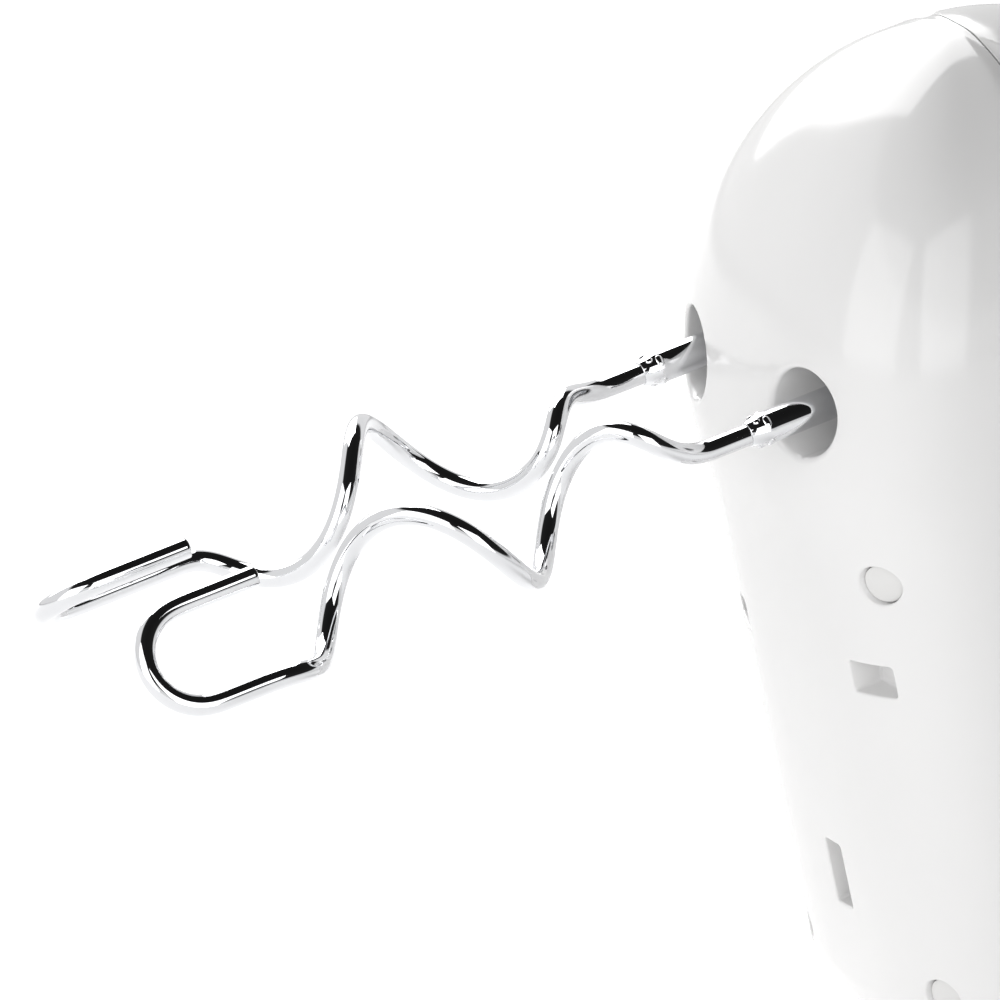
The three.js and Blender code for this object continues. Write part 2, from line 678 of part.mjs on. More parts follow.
function rearBracket() {
  const [y0, y1] = [MOTOR_Y - 6, MOTOR_Y + 6];
  const bottom = -112.4;
  let solid = box(-27, 27, y0, y1, bottom, -104.6);
  for (const { sign } of SIDES) {
    const [near, far] = [sign * 22.6, sign * 27].sort((a, b) => a - b);
    solid = solid.add(box(near, far, y0, y1, bottom, -84));
  }
  return solid.subtract(bearingSeat(-120, -100));
}

function brushHolder(sign) {
  const [near, far] = [sign * 8.6, sign * 22.2].sort((a, b) => a - b);
  const body = box(near, far, MOTOR_Y - 4.2, MOTOR_Y + 4.2, BRUSH_Z - 4.4, BRUSH_Z + 4.4);
  const [start, end] = [sign * 8, sign * 20.6].sort((a, b) => a - b);
  return body.subtract(box(start, end, MOTOR_Y - 2.9, MOTOR_Y + 2.9, BRUSH_Z - 2.9, BRUSH_Z + 2.9));
}

function carbonBrush(sign) {
  const [near, far] = [sign * 7.4, sign * 14].sort((a, b) => a - b);
  return box(near, far, MOTOR_Y - 2.5, MOTOR_Y + 2.5, BRUSH_Z - 2.5, BRUSH_Z + 2.5);
}

function brushSpring(sign) {
  const place = (a, along, b) => new THREE.Vector3(sign * along, MOTOR_Y + a, BRUSH_Z + b);
  return coilSpring(1.7, 0.3, 14.7, 5.2, 3, 24, place);
}

// ---------------------------------------------------------------- gearbox
function gearboxFrame() {
  const outline = roundedRectangle(-36, 36, -20.5, 17.5, 8);
  let solid = plateY(outline, 32.4, 35.4, 4);
  for (const [z0, z1] of [FRONT_BEARING, NOSE_BEARING]) {
    solid = solid.add(box(-6, 6, 33, MOTOR_Y + 6, z0 - 0.4, z1 + 0.4));
    solid = solid.subtract(bearingSeat(z0 - 1, z1 + 1));
  }
  for (const { sign } of SIDES) {
    solid = solid.subtract(rod(SPINDLE_RADIUS + GAP, 30, 40, 16, (sign * HOOK_SPACING) / 2));
  }
  return solid;
}

function gearboxCover() {
  const outline = roundedRectangle(-38.5, 38.5, -14.5, 14.5, 3);
  let solid = plateY(outline, 51, 53.6, 4);
  for (const { sign } of SIDES) {
    solid = solid.subtract(rod(SPINDLE_RADIUS + GAP, 48, 60, 16, (sign * HOOK_SPACING) / 2));
    for (const z of [-12.4, 12.4]) {
      solid = solid.add(rod(1.6, 35.8, 52, 8, sign * 36.2, z));
    }
  }
  return solid;
}

// Worm wheel with teeth turned to follow the worm's thread.
function wormWheel(sign) {
  const [y0, y1] = [40, 48];
  const lead = Math.atan(WORM_PITCH / (2 * Math.PI * WORM_RADIUS));
  const [rootRadius, tipRadius] = [WHEEL_RADIUS - 1.35, WHEEL_RADIUS + 0.9];
  const [rootHalf, tipHalf] = [0.62 * MODULE, 0.3 * MODULE];
  const firstTooth = sign > 0 ? Math.PI : Math.PI / TEETH;
  const layers = 2;
  const rings = [];
  for (let layer = 0; layer < layers; layer += 1) {
    const y = y0 + ((y1 - y0) * layer) / (layers - 1);
    const twist = (Math.tan(lead) * (y - MOTOR_Y)) / WHEEL_RADIUS;
    const ring = [];
    for (let i = 0; i < TEETH; i += 1) {
      const middle = firstTooth + (2 * Math.PI * i) / TEETH;
      const corners = [
        [-rootHalf / rootRadius, rootRadius], [-tipHalf / tipRadius, tipRadius],
        [tipHalf / tipRadius, tipRadius], [rootHalf / rootRadius, rootRadius],
      ];
      for (const [offset, radius] of corners) {
        // A turn by +twist about the y axis carries the -x side towards +z.
        const angle = middle + offset - twist;
        const x = (sign * HOOK_SPACING) / 2 + radius * Math.cos(angle);
        ring.push(new THREE.Vector3(x, y, radius * Math.sin(angle)));
      }
    }
    rings.push(ring);
  }
  return loft(rings).subtract(rod(SPINDLE_RADIUS + GAP, 30, 60, 16, (sign * HOOK_SPACING) / 2));
}

function hexPrism(apothem, y0, y1, x) {
  const corner = apothem / Math.cos(Math.PI / 6);
  const geometry = new THREE.CylinderGeometry(corner, corner, y1 - y0, 6);
  geometry.translate(x, (y0 + y1) / 2, 0);
  return toSolid(geometry);
}

const SPINDLE = { start: 22, end: 54.6, hexStart: 30 };

function spindle(sign) {
  const x = (sign * HOOK_SPACING) / 2;
  const flange = 7.4;
  const outer = turnedY([
    [0, SPINDLE.start], [SPINDLE_RADIUS, SPINDLE.start], [SPINDLE_RADIUS, 35.8], [flange, 35.8],
    [flange, 39.6], [SPINDLE_RADIUS, 39.6], [SPINDLE_RADIUS, SPINDLE.end], [0, SPINDLE.end],
  ], 16, x);
  const roundBore = rod(SHANK_RADIUS + 0.35, 10, SPINDLE.hexStart, 12, x);
  const hexBore = hexPrism(SHANK_RADIUS - 0.05, SPINDLE.hexStart - 1, 60, x);
  return outer.subtract(roundBore).subtract(hexBore);
}

// ---------------------------------------------------------------- hooks
// Tube swaged onto the wire, with a solid hexagonal drive end. Four crimp marks stand out of it.
function hookShank(sign) {
  const x = (sign * HOOK_SPACING) / 2;
  const r = SHANK_RADIUS;
  const bore = WIRE_RADIUS + GAP;
  const shoulder = [[bore, -3.2], [bore + 0.3, -3.2], [r - 0.2, -1.4], [r + 0.2, -0.4]];
  const body = turnedY([
    ...shoulder, [r + 0.2, 1], [r, 1.6], [r, 26], [0, 26], [0, 6.5], [bore, 6.5], [bore, -3.2],
  ], 14, x);
  let solid = body.add(hexPrism(r - 0.4, 25, 52.2, x));
  for (const turn of [0, 0.25, 0.5, 0.75]) {
    const mark = new THREE.BoxGeometry(0.8, 1.8, 1.2);
    mark.translate(r + 0.1, 0.3, 0);
    mark.rotateY(2 * Math.PI * turn + Math.PI / 4);
    mark.translate(x, 0, 0);
    solid = solid.add(toSolid(mark));
  }
  return solid;
}

// Rises from 0 with a slope that eases from 0 to 1 over a length about the middle.
function easedRamp(x, middle, length) {
  const t = THREE.MathUtils.clamp((x - middle) / length + 0.5, 0, 1);
  return length * (t ** 3 - t ** 4 / 2) + Math.max(0, x - middle - length / 2);
}

// Centre line of a hook: straight, a corkscrew, then a flat return loop centred on the axis.
function hookPath(sign) {
  const h = HOOK;
  const { startAngle, helixEnd } = sign > 0 ? HOOK_SHAPE.right : HOOK_SHAPE.left;
  const points = [];
  const place = (along, radius, angle) => {
    const side = sign * radius * Math.sin(angle);
    const up = -radius * Math.cos(angle);
    points.push(new THREE.Vector3((sign * HOOK_SPACING) / 2 + side, -along, up));
  };
  const angleAt = (along) => {
    const wound = easedRamp(along, h.windMiddle, h.windLength);
    const unwound = easedRamp(along, helixEnd, h.unwindLength);
    return THREE.MathUtils.degToRad(startAngle) + (2 * Math.PI * (wound - unwound)) / h.pitch;
  };
  const radiusAt = (along) => {
    const outwards = smooth((along - h.bendStart) / h.bendLength);
    const inwards = smooth((along - helixEnd + h.unwindLength / 2) / (h.unwindLength + 4));
    return h.helixRadius * outwards - (h.helixRadius - h.loopRadius) * inwards;
  };
  for (const along of [-6, 0, 4, 8]) {
    place(along, 0, 0);
  }
  const steps = 32;
  const loopStart = h.tip - h.loopRadius;
  for (let i = 0; i < steps; i += 1) {
    const along = THREE.MathUtils.lerp(h.bendStart, loopStart, i / steps);
    place(along, radiusAt(along), angleAt(along));
  }
  const loopAngle = angleAt(loopStart);
  const loopSteps = 8;
  for (let i = 0; i <= loopSteps; i += 1) {
    const angle = (Math.PI * i) / loopSteps;
    const along = loopStart + h.loopRadius * Math.sin(angle);
    place(along, h.loopRadius * Math.cos(angle), loopAngle);
  }
  place(THREE.MathUtils.lerp(loopStart, h.cutEnd, 0.5), -h.loopRadius, loopAngle);
  place(h.cutEnd, -h.loopRadius, loopAngle);
  return points;
}

function hookWire(sign) {
  return bar(hookPath(sign), WIRE_RADIUS, 8, 72);
}

// ---------------------------------------------------------------- electrics
function speedSwitch() {
  return box(-7, 7, 101.5, 109.6, -40, -6).add(box(-2, 2, 109, 110.8, -30, -26));
}

function circuitBoard() {
  return box(-11, 11, 99.4, 101, -100, -42);
}

function capacitor() {
  const shape = roundedRectangle(-8, 8, -82, -62, 2);
  return plateY(shape, 101.3, 109.5, 3);
}

function terminalBlock() {
  let solid = box(-8, 8, 101.3, 108, -98, -88);
  for (const x of [-4, 4]) {
    solid = solid.subtract(rod(1.6, 104, 110, 10, x, -93));
  }
  return solid;
}

function motorLead(sign) {
  const points = [
    [4, 103, -101], [5, 104, -112], [6, 101, -124], [9, 92, -133], [13, 80, -134], [14, 70, -131],
    [15, 60, -124], [15.5, 53, -113], [16, 52, -105], [16, 50.2, -98],
  ];
  const path = points.map(([x, y, z]) => new THREE.Vector3(sign * x, y, z));
  return bar(path, 0.9, 5, 18);
}

function housingScrew(x, z) {
  const seat = SCREW_SEAT_Y - GAP;
  const head = turnedY([
    [0, seat - 2.4], [2.6, seat - 2.4], [3.2, seat - 1.6], [3.2, seat], [1.4, seat],
    [1.4, SEAM_Y + SCREW_BITE - 1], [0, SEAM_Y + SCREW_BITE],
  ], 12, x, z);
  return head.subtract(box(x - 0.4, x + 0.4, seat - 4, seat - 1.2, z - 2, z + 2));
}

const plugEnvelope = envelope(PLUG_DEPTH, 5, 2);

// Hollow plug whose face follows the underside.
function screwPlug(x, z) {
  const mouth = undersideY(x);
  const radius = SCREW_WELL_RADIUS - GAP;
  const body = rod(radius, mouth - 8, mouth + 8, 20, x, z).intersect(plugEnvelope);
  return body.subtract(rod(radius - 1.2, mouth + 4.4, mouth + 9, 12, x, z));
}

// ---------------------------------------------------------------- assembly
const mixer = new THREE.Group();

function piece(name, solid, surface) {
  const mesh = new THREE.Mesh(toGeometry(solid), surface);
  mesh.name = name;
  mixer.add(mesh);
}

piece('motor_housing', motorHousing(), whitePlastic);
piece('handle_housing', handleHousing(), whitePlastic);
piece('grip_pad', gripPad(), softRubber);
piece('cord_inlet', cordInlet(), darkPlastic);
piece('speed_selector', speedSelector(), greyPlastic);
piece('turbo_button', turboButton(), greyPlastic);
piece('eject_button', ejectButton(), greyPlastic);
piece('ejector_plate', ejectorPlate(), nylon);
piece('ejector_spring', ejectorSpring(), steel);
piece('stator_core', statorCore(), lamination);
piece('field_coil_front', fieldCoil(-1), copper);
piece('field_coil_back', fieldCoil(1), copper);
piece('armature_core', armatureCore(), lamination);
piece('armature_winding_nose', armatureWinding(STACK.z1 + GAP, STACK.z1 + 7), copper);
piece('armature_winding_heel', armatureWinding(STACK.z0 - 7, STACK.z0 - GAP), copper);
piece('commutator', commutator(), copper);
piece('motor_shaft', motorShaft(), steel);
piece('worm', worm(), steel);
piece('cooling_fan', coolingFan(), nylon);
piece('bearing_nose', bearing(...NOSE_BEARING), bronze);
piece('bearing_front', bearing(...FRONT_BEARING), bronze);
piece('bearing_rear', bearing(...REAR_BEARING), bronze);
piece('rear_bracket', rearBracket(), darkPlastic);
piece('gearbox_frame', gearboxFrame(), nylon);
piece('gearbox_cover', gearboxCover(), nylon);
piece('speed_switch', speedSwitch(), darkPlastic);
piece('circuit_board', circuitBoard(), boardGreen);
piece('suppression_capacitor', capacitor(), leadJacket);
piece('terminal_block', terminalBlock(), nylon);

for (const { name, sign } of SIDES) {
  piece(`brush_holder_${name}`, brushHolder(sign), darkPlastic);
  piece(`carbon_brush_${name}`, carbonBrush(sign), carbon);
  piece(`brush_spring_${name}`, brushSpring(sign), steel);
  piece(`worm_wheel_${name}`, wormWheel(sign), nylon);
  piece(`spindle_${name}`, spindle(sign), steel);
  piece(`hook_shank_${name}`, hookShank(sign), chrome);
  piece(`hook_wire_${name}`, hookWire(sign), chrome);
  piece(`motor_lead_${name}`, motorLead(sign), leadJacket);
}

for (const { name, x, z } of SCREW_PLACES) {
  piece(`housing_screw_${name}`, housingScrew(x, z), steel);
  piece(`screw_plug_${name}`, screwPlug(x, z), whitePlastic);
}

// Lean the mixer onto its heel, with the floor at height 0 and the origin in the middle of the
// motor housing's part of the heel.
const HEEL_FRONT_Y = NOSE_Y + (FRONT_Y - NOSE_Y) * (1 - HEEL_RADIUS / NOSE_RADIUS);
const HEEL_CENTRE_Y = (HEEL_FRONT_Y + SEAM_Y) / 2;
mixer.rotation.x = LEAN;
const heelCentre = new THREE.Vector3(0, HEEL_CENTRE_Y, floorZ(HEEL_CENTRE_Y));
mixer.position.copy(heelCentre.applyAxisAngle(new THREE.Vector3(1, 0, 0), LEAN).negate());

export default mixer;
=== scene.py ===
# Looks of the hand mixer: fine shells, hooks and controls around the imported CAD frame.
# Shapes are worked out in the mixer's own axes, in millimetres, and then moved into the frame:
#   x  across the mixer, y  from the hooks (-y) to the handle (+y), z  from the heel to the nose.
import math

import bpy
import numpy as np
from mathutils import Matrix, Vector


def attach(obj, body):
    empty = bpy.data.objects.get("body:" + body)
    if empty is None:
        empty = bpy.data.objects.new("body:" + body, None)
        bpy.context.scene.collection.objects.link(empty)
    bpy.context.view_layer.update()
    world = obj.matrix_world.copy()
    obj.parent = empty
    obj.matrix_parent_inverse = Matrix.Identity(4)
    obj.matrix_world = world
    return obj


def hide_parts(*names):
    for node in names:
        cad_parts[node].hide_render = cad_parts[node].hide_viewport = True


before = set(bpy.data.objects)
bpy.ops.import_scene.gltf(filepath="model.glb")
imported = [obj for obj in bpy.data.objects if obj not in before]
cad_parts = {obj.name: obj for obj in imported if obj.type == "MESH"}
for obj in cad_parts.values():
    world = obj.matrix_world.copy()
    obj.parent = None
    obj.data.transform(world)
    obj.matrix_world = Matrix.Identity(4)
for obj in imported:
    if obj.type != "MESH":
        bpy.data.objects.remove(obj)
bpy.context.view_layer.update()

# ------------------------------------------------------------------ dimensions, as in the CAD source
LEAN = math.radians(12.6)
HOOK_X = 21.0
FRONT_Y = 5.7
FRONT_DEPTH = 32.6
BACK_Y = 118.0
BACK_CURVE_Y = 106.0
NOSE_Z = -5.4
NOSE_Y = 62.0
NOSE_RADIUS = 58.0
NOSE_HEIGHT = 57.85
HALF_WIDTH = 44.0
GRIP_HALF_WIDTH = 17.0
CURVE_POWER = 2.6
NOSE_WIDTH_POWER = 2.15
NOSE_DEPTH_POWER = 1.85
SIDE_END_Y = 55.0
GRIP_START_Y = 94.0
HEEL_DEPTH = 130.0
HEEL_RADIUS = 13.0
SWELL = 2.1
SWELL_Z = -13.0
SWELL_LENGTH = 11.5
SEAM_Y = 64.0
SEAM_FRONT_Y = SEAM_Y - 0.3  # edge of the motor housing
SEAM_BACK_Y = SEAM_Y  # edge of the handle housing
FLOOR_SLOPE = -math.tan(LEAN)

SOCKET_RADIUS = 8.25
SOCKET_DEPTH_Y = 29.5
SCREW_WELL_RADIUS = 3.9
SCREW_PLACES = {"upper": (31, -33.5), "lower": (26, -119)}
LATCH_X, LATCH_LOW, LATCH_HIGH, LATCH_FLOOR_Y = 25.2, -56.6, -50.3, 13.4
SLOT_LOW, SLOT_HIGH, SLOT_FLOOR_Y = -106.2, -93.2, 9.8
VENT_FIRST_Z, VENT_PITCH, VENT_COUNT, VENT_Y = -104.5, 9, 5, 50.0
OPENING_Y, OPENING_Z, OPENING_HALF, OPENING_CORNER = 83.0, -50.0, (13.0, 62.0), 12.0
SELECTOR_Z = -21.0
TURBO_Z, TURBO_RADIUS = -50, 5
EJECT_Z, EJECT_RADIUS = 27, 8
INLET_Z, INLET_RADIUS = -138, 5.6

WIRE_RADIUS = 2.0
SHANK_RADIUS = 3.1

# these two belong to the meshes here, not to the CAD
SEAM_ROUND = 0.45  # rounding of the shells' edges at the seam
FLAT_Z = -112.0  # from here up to the nose, the rows of the shells are level


def floor_z(y):
    """Level of the surface that the mixer stands on, in the mixer's own axes."""
    return (-HEEL_DEPTH - y * math.sin(LEAN)) / math.cos(LEAN)


HEEL_FRONT_Y = NOSE_Y + (FRONT_Y - NOSE_Y) * (1 - HEEL_RADIUS / NOSE_RADIUS)
HEEL_CENTRE_Y = (HEEL_FRONT_Y + SEAM_Y) / 2
TURN = Matrix.Rotation(LEAN, 4, "X")
ORIGIN = TURN @ Vector((0, HEEL_CENTRE_Y, floor_z(HEEL_CENTRE_Y)))
TO_FRAME = Matrix.Scale(0.001, 4) @ Matrix.Translation(-ORIGIN) @ TURN


def smooth(t):
    t = np.clip(t, 0, 1)
    return t * t * (3 - 2 * t)


def lerp(a, b, t):
    return a + (b - a) * t


# ------------------------------------------------------------------ housing surface
def closed_section():
    """The outline of the housing at the socket level: x and y at even steps, from the middle of
    the underside round the +x side, with its corners eased a little."""
    turn = np.linspace(0, np.pi / 2, 900)
    power = 2 / CURVE_POWER
    front = np.column_stack([
        HALF_WIDTH * np.sin(turn) ** power,
        FRONT_Y + FRONT_DEPTH * (1 - np.cos(turn) ** power),
    ])
    y = np.linspace(FRONT_Y + FRONT_DEPTH, BACK_CURVE_Y, 900)[1:]
    share = smooth((y - SIDE_END_Y) / (GRIP_START_Y - SIDE_END_Y))
    side = np.column_stack([HALF_WIDTH - (HALF_WIDTH - GRIP_HALF_WIDTH) * share, y])
    turn = turn[1:]
    back = np.column_stack([
        GRIP_HALF_WIDTH * np.cos(turn) ** power,
        BACK_CURVE_Y + (BACK_Y - BACK_CURVE_Y) * np.sin(turn) ** power,
    ])
    half = np.vstack([front, side, back])
    loop = np.vstack([half, half[-2::-1] * [-1, 1]])
    length = np.concatenate([[0], np.cumsum(np.hypot(*np.diff(loop, axis=0).T))])
    count = 8192
    at = np.arange(count) * length[-1] / count
    easing = np.exp(-2 * (np.pi * 1.3 * np.fft.rfftfreq(count, length[-1] / count)) ** 2)
    x, y = (
        np.fft.irfft(np.fft.rfft(np.interp(at, length, loop[:, k])) * easing, count)
        for k in (0, 1)
    )
    return at, x, y, length[-1]


SECTION_S, SECTION_X, SECTION_Y, SECTION_LENGTH = closed_section()


def section(s):
    """Point of the outline at distance s, as x and y."""
    return (
        np.interp(s, SECTION_S, SECTION_X, period=SECTION_LENGTH),
        np.interp(s, SECTION_S, SECTION_Y, period=SECTION_LENGTH),
    )


def section_at_y(y):
    """Distance along the +x half of the section to the point at y."""
    half = len(SECTION_S) // 2
    return np.interp(y, SECTION_Y[:half], SECTION_S[:half])


# Row parameter v, in millimetres of surface: heel fillet, easing to level rows, straight, nose.
V_FILLET = HEEL_RADIUS * math.pi / 2
V_FLAT = V_FILLET + 17
V_NOSE = V_FLAT + NOSE_Z - FLAT_Z
V_POLE = V_NOSE + NOSE_RADIUS * math.pi / 2


def level(v):
    """What makes row v: its z, its slope, its scale in x and y, and how far up the dome it is."""
    heel = np.pi / 2 * (1 - np.clip(v / V_FILLET, 0, 1))
    shrink = HEEL_RADIUS * (1 - np.cos(heel))
    z = floor_z(NOSE_Y) + HEEL_RADIUS * (1 - np.sin(heel))
    t = np.clip((v - V_FILLET) / (V_FLAT - V_FILLET), 0, 1)
    z = lerp(z, FLAT_Z, t) + np.clip(v - V_FLAT, 0, V_NOSE - V_FLAT)
    nose = np.clip((v - V_NOSE) / NOSE_RADIUS, 0, np.pi / 2)
    rise = np.sin(nose)
    kx = (1 - rise**NOSE_WIDTH_POWER) ** (1 / NOSE_WIDTH_POWER) * (1 - shrink / HALF_WIDTH)
    ky = (1 - rise**NOSE_DEPTH_POWER) ** (1 / NOSE_DEPTH_POWER) * (1 - shrink / NOSE_RADIUS)
    return z + NOSE_HEIGHT * rise, FLOOR_SLOPE * (1 - t), kx, ky, rise**2


def surface(s, v):
    """Points of the housing's outside, in the mixer's axes."""
    s, v = np.broadcast_arrays(np.asarray(s, float), np.asarray(v, float))
    x0, y0 = section(s)
    z, slope, kx, ky, dome = level(v)
    y = NOSE_Y + (y0 - NOSE_Y) * ky
    behind = np.clip((y0 - NOSE_Y) / (BACK_Y - NOSE_Y), 0, 1)
    oval = HALF_WIDTH * (1 - behind**NOSE_WIDTH_POWER) ** (1 / NOSE_WIDTH_POWER)
    wide = lerp(np.abs(x0), oval, smooth((y0 - NOSE_Y) / 20))
    x = lerp(np.abs(x0), wide, dome) * np.sign(x0) * kx
    swell = SWELL * np.exp(-(((z - SWELL_Z) / SWELL_LENGTH) ** 2))
    swell = swell * np.clip((FRONT_Y + FRONT_DEPTH - y0) / FRONT_DEPTH, 0, 1)
    return np.stack([x, y - swell, z + slope * (y - NOSE_Y)], -1)


def find(across, z, axis, s, v):
    """Surface parameters of the points that have a given x (axis 0) or y (axis 1) and z."""
    s, v = np.array(s, float), np.array(v, float)
    step = 0.05
    for _ in range(60):
        p = surface(s, v)
        ds = (surface(s + step, v) - p) / step
        dv = (surface(s, v + step) - p) / step
        off_a, off_z = across - p[..., axis], z - p[..., 2]
        det = ds[..., axis] * dv[..., 2] - dv[..., axis] * ds[..., 2]
        s += np.clip((off_a * dv[..., 2] - off_z * dv[..., axis]) / det, -3, 3)
        v += np.clip((off_z * ds[..., axis] - off_a * ds[..., 2]) / det, -3, 3)
        if np.max(np.hypot(off_a, off_z)) < 1e-6:
            break
    return s, v


# ------------------------------------------------------------------ mesh building
class Skin:
    """Points and faces in the mixer's axes, turned into one Blender piece at the end."""

    def __init__(self):
        self.points = []
        self.faces = []

    def add(self, points):
        points = np.asarray(points, float).reshape(-1, 3)
        first = sum(len(p) for p in self.points)
        self.points.append(points)
        return np.arange(first, first + len(points))

    def at(self, indices):
        return np.vstack(self.points)[indices]

    def band(self, a, b, closed=True):
        """Quads between two rows of the same length, b on the left of a."""
        last = len(a) if closed else len(a) - 1
        for k in range(last):
            n = (k + 1) % len(a)
            self.faces.append((a[k], a[n], b[n], b[k]))

    def cap(self, ring, rings=0):
        """Closes a ring: with a polygon, or with smaller rings and then a polygon."""
        middle = self.at(ring).mean(0)
        points = self.at(ring)
        for k in range(rings):
            inner = self.add(middle + (points - middle) * (1 - (k + 1) / (rings + 1)))
            self.band(ring, inner)
            ring = inner
        self.faces.append(tuple(ring))

    def piece(self, name, surface_material, body, nodes=(), sharp=40):
        points = np.vstack(self.points)
        used = np.unique(np.concatenate([np.array(f) for f in self.faces]))
        renumber = np.zeros(len(points), int)
        renumber[used] = np.arange(len(used))
        mesh = bpy.data.meshes.new(name)
        faces = [[int(renumber[k]) for k in f] for f in self.faces]
        mesh.from_pydata([tuple(p) for p in points[used]], [], faces)
        mesh.transform(TO_FRAME)
        mesh.validate()
        mesh.polygons.foreach_set("use_smooth", [True] * len(mesh.polygons))
        mesh.set_sharp_from_angle(angle=math.radians(sharp))
        mesh.materials.append(surface_material)
        thing = bpy.data.objects.new(name, mesh)
        bpy.context.scene.collection.objects.link(thing)
        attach(thing, body)
        if nodes:
            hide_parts(*nodes)
        return thing


def rounded(counts, half_a, half_z, corner):
    """Rounded rectangle about the origin, as many points a side as a grid block has cells,
    anticlockwise from the lower left corner's middle."""
    sides = [(half_a, half_z, counts[0]), (half_z, half_a, counts[1])] * 2
    points = []
    for turn, (along, off, count) in enumerate(sides):
        reach = min(corner, along, off)
        bend = int(np.clip(round(count / 2 * reach / along), 2, count // 2))
        for k in range(count):
            if k <= bend:
                angle = math.radians(225 + 45 * k / bend)
                p = (-along + reach + reach * math.cos(angle), -off + reach + reach * math.sin(angle))
            elif k >= count - bend:
                angle = math.radians(270 + 45 * (k - count + bend) / bend)
                p = (along - reach + reach * math.cos(angle), -off + reach + reach * math.sin(angle))
            else:
                p = (lerp(-along + reach, along - reach, (k - bend) / (count - 2 * bend)), -off)
            for _ in range(turn):
                p = (-p[1], p[0])
            points.append(p)
    return np.array(points)


class Lattice:
    """Grid over the surface parameters, with blocks of cells that holes are let into."""

    def __init__(self, skin, s, v):
        self.skin, self.s, self.v = skin, s, v
        self.index = skin.add(surface(s, v)).reshape(s.shape)
        self.blocks = []

    def hole(self, at, axis, half, corner, margin, rim, inward, near, block=None):
        """Cuts a hole with a rounded rim. at is its middle: x (axis 0) or y (axis 1), and z. half is
        half its size in those directions, margin the width of surface remade around it, and near a
        first guess at its surface parameters. block, if given, sets the cells that it takes.
        Returns the ring at the foot of the rim's curve, in the order of a band going inwards."""
        across, z = at
        half_a, half_z = half
        s0, v0 = find(across, z, axis, *near)
        # direction in which the crossing coordinate grows with s
        grows = np.sign(surface(s0 + 0.5, v0)[axis] - surface(s0 - 0.5, v0)[axis])
        corners = [find(across + a * grows * (half_a + margin), z + b * (half_z + margin), axis, s0, v0)
                   for a, b in ((-1, -1), (1, -1), (1, 1), (-1, 1))]
        low_s, high_s = (f(c[0] for c in corners) for f in (min, max))
        low_v, high_v = (f(c[1] for c in corners) for f in (min, max))
        j0 = int(np.argmin(np.abs(self.v[0] - low_v)))
        j1 = int(np.argmin(np.abs(self.v[0] - high_v)))
        middle = (j0 + j1) // 2
        i0 = int(np.argmin(np.abs(self.s[:, middle] - low_s)))
        i1 = int(np.argmin(np.abs(self.s[:, middle] - high_s)))
        if block:
            i0, i1, j0, j1 = block
        self.blocks.append((i0, i1, j0, j1))
        walk = [(i, j0) for i in range(i0, i1)] + [(i1, j) for j in range(j0, j1)]
        walk += [(i, j1) for i in range(i1, i0, -1)] + [(i0, j) for j in range(j1, j0, -1)]
        rows = tuple(np.array(walk).T)
        border_s, border_v, ring = self.s[rows], self.v[rows], self.index[rows]
        counts = (i1 - i0, j1 - j0)

        def outline(grow):
            p = rounded(counts, half_a + grow, half_z + grow, corner + grow)
            return across + p[:, 0] * grows, z + p[:, 1]

        edge_s, edge_v = find(*outline(rim), axis, border_s, border_v)
        cell = np.hypot(self.s[i0 + 1, j0] - self.s[i0, j0], self.v[0, j0 + 1] - self.v[0, j0])
        gap = np.hypot(edge_s - border_s, edge_v - border_v).mean()
        steps = max(1, int(round(gap / cell)))
        for k in range(1, steps):
            t = k / steps
            row = self.skin.add(surface(lerp(border_s, edge_s, t), lerp(border_v, edge_v, t)))
            self.skin.band(ring, row)
            ring = row
        guess = (edge_s, edge_v)
        for k in range(7):
            angle = np.pi / 2 * k / 6
            guess = find(*outline(rim * (1 - math.sin(angle))), axis, *guess)
            points = surface(*guess) + np.array(inward) * rim * (1 - math.cos(angle))
            row = self.skin.add(points)
            self.skin.band(ring, row)
            ring = row
        return ring

    def round_hole(self, x, z, radius, margin, rim, inward, near):
        """Cuts a round hole that goes in along y."""
        return self.hole((x, z), 0, (radius, radius), radius, margin, rim, inward, near)

    def close(self):
        """Adds the cells outside the holes."""
        inside = np.zeros((self.s.shape[0] - 1, self.s.shape[1] - 1), bool)
        for i0, i1, j0, j1 in self.blocks:
            inside[i0:i1, j0:j1] = True
        n = self.index
        for i, j in np.argwhere(~inside):
            self.skin.faces.append((n[i, j], n[i + 1, j], n[i + 1, j + 1], n[i, j + 1]))


def wall(skin, ring, direction, reach, steps=3, taper=0.0, floor=True, fillet=0.5):
    """Continues a hole from ring along direction, to a level (a number) or by a length (a tuple
    of one number), narrowing by taper, and closes it with a filleted floor."""
    axis = int(np.argmax(np.abs(direction)))
    sign = direction[axis]
    start = skin.at(ring)
    middle = start.mean(0)
    end = start.copy()
    if isinstance(reach, tuple):
        end[:, axis] += sign * reach[0]
    else:
        end[:, axis] = reach
    others = [k for k in range(3) if k != axis]
    spread = np.linalg.norm((start - middle)[:, others], axis=1, keepdims=True)
    outward = (start - middle)[:, others] / spread
    end[:, others] -= outward * taper
    top = end.copy()
    if floor:
        top[:, axis] -= sign * fillet
    for k in range(1, steps + 1):
        row = skin.add(lerp(start, top, k / steps))
        skin.band(ring, row)
        ring = row
    if not floor:
        return ring
    for k in range(1, 4):
        angle = np.pi / 2 * k / 3
        points = top.copy()
        points[:, axis] += sign * fillet * math.sin(angle)
        points[:, others] -= outward * fillet * (1 - math.cos(angle))
        row = skin.add(points)
        skin.band(ring, row)
        ring = row
    skin.cap(ring, 2)
    return ring


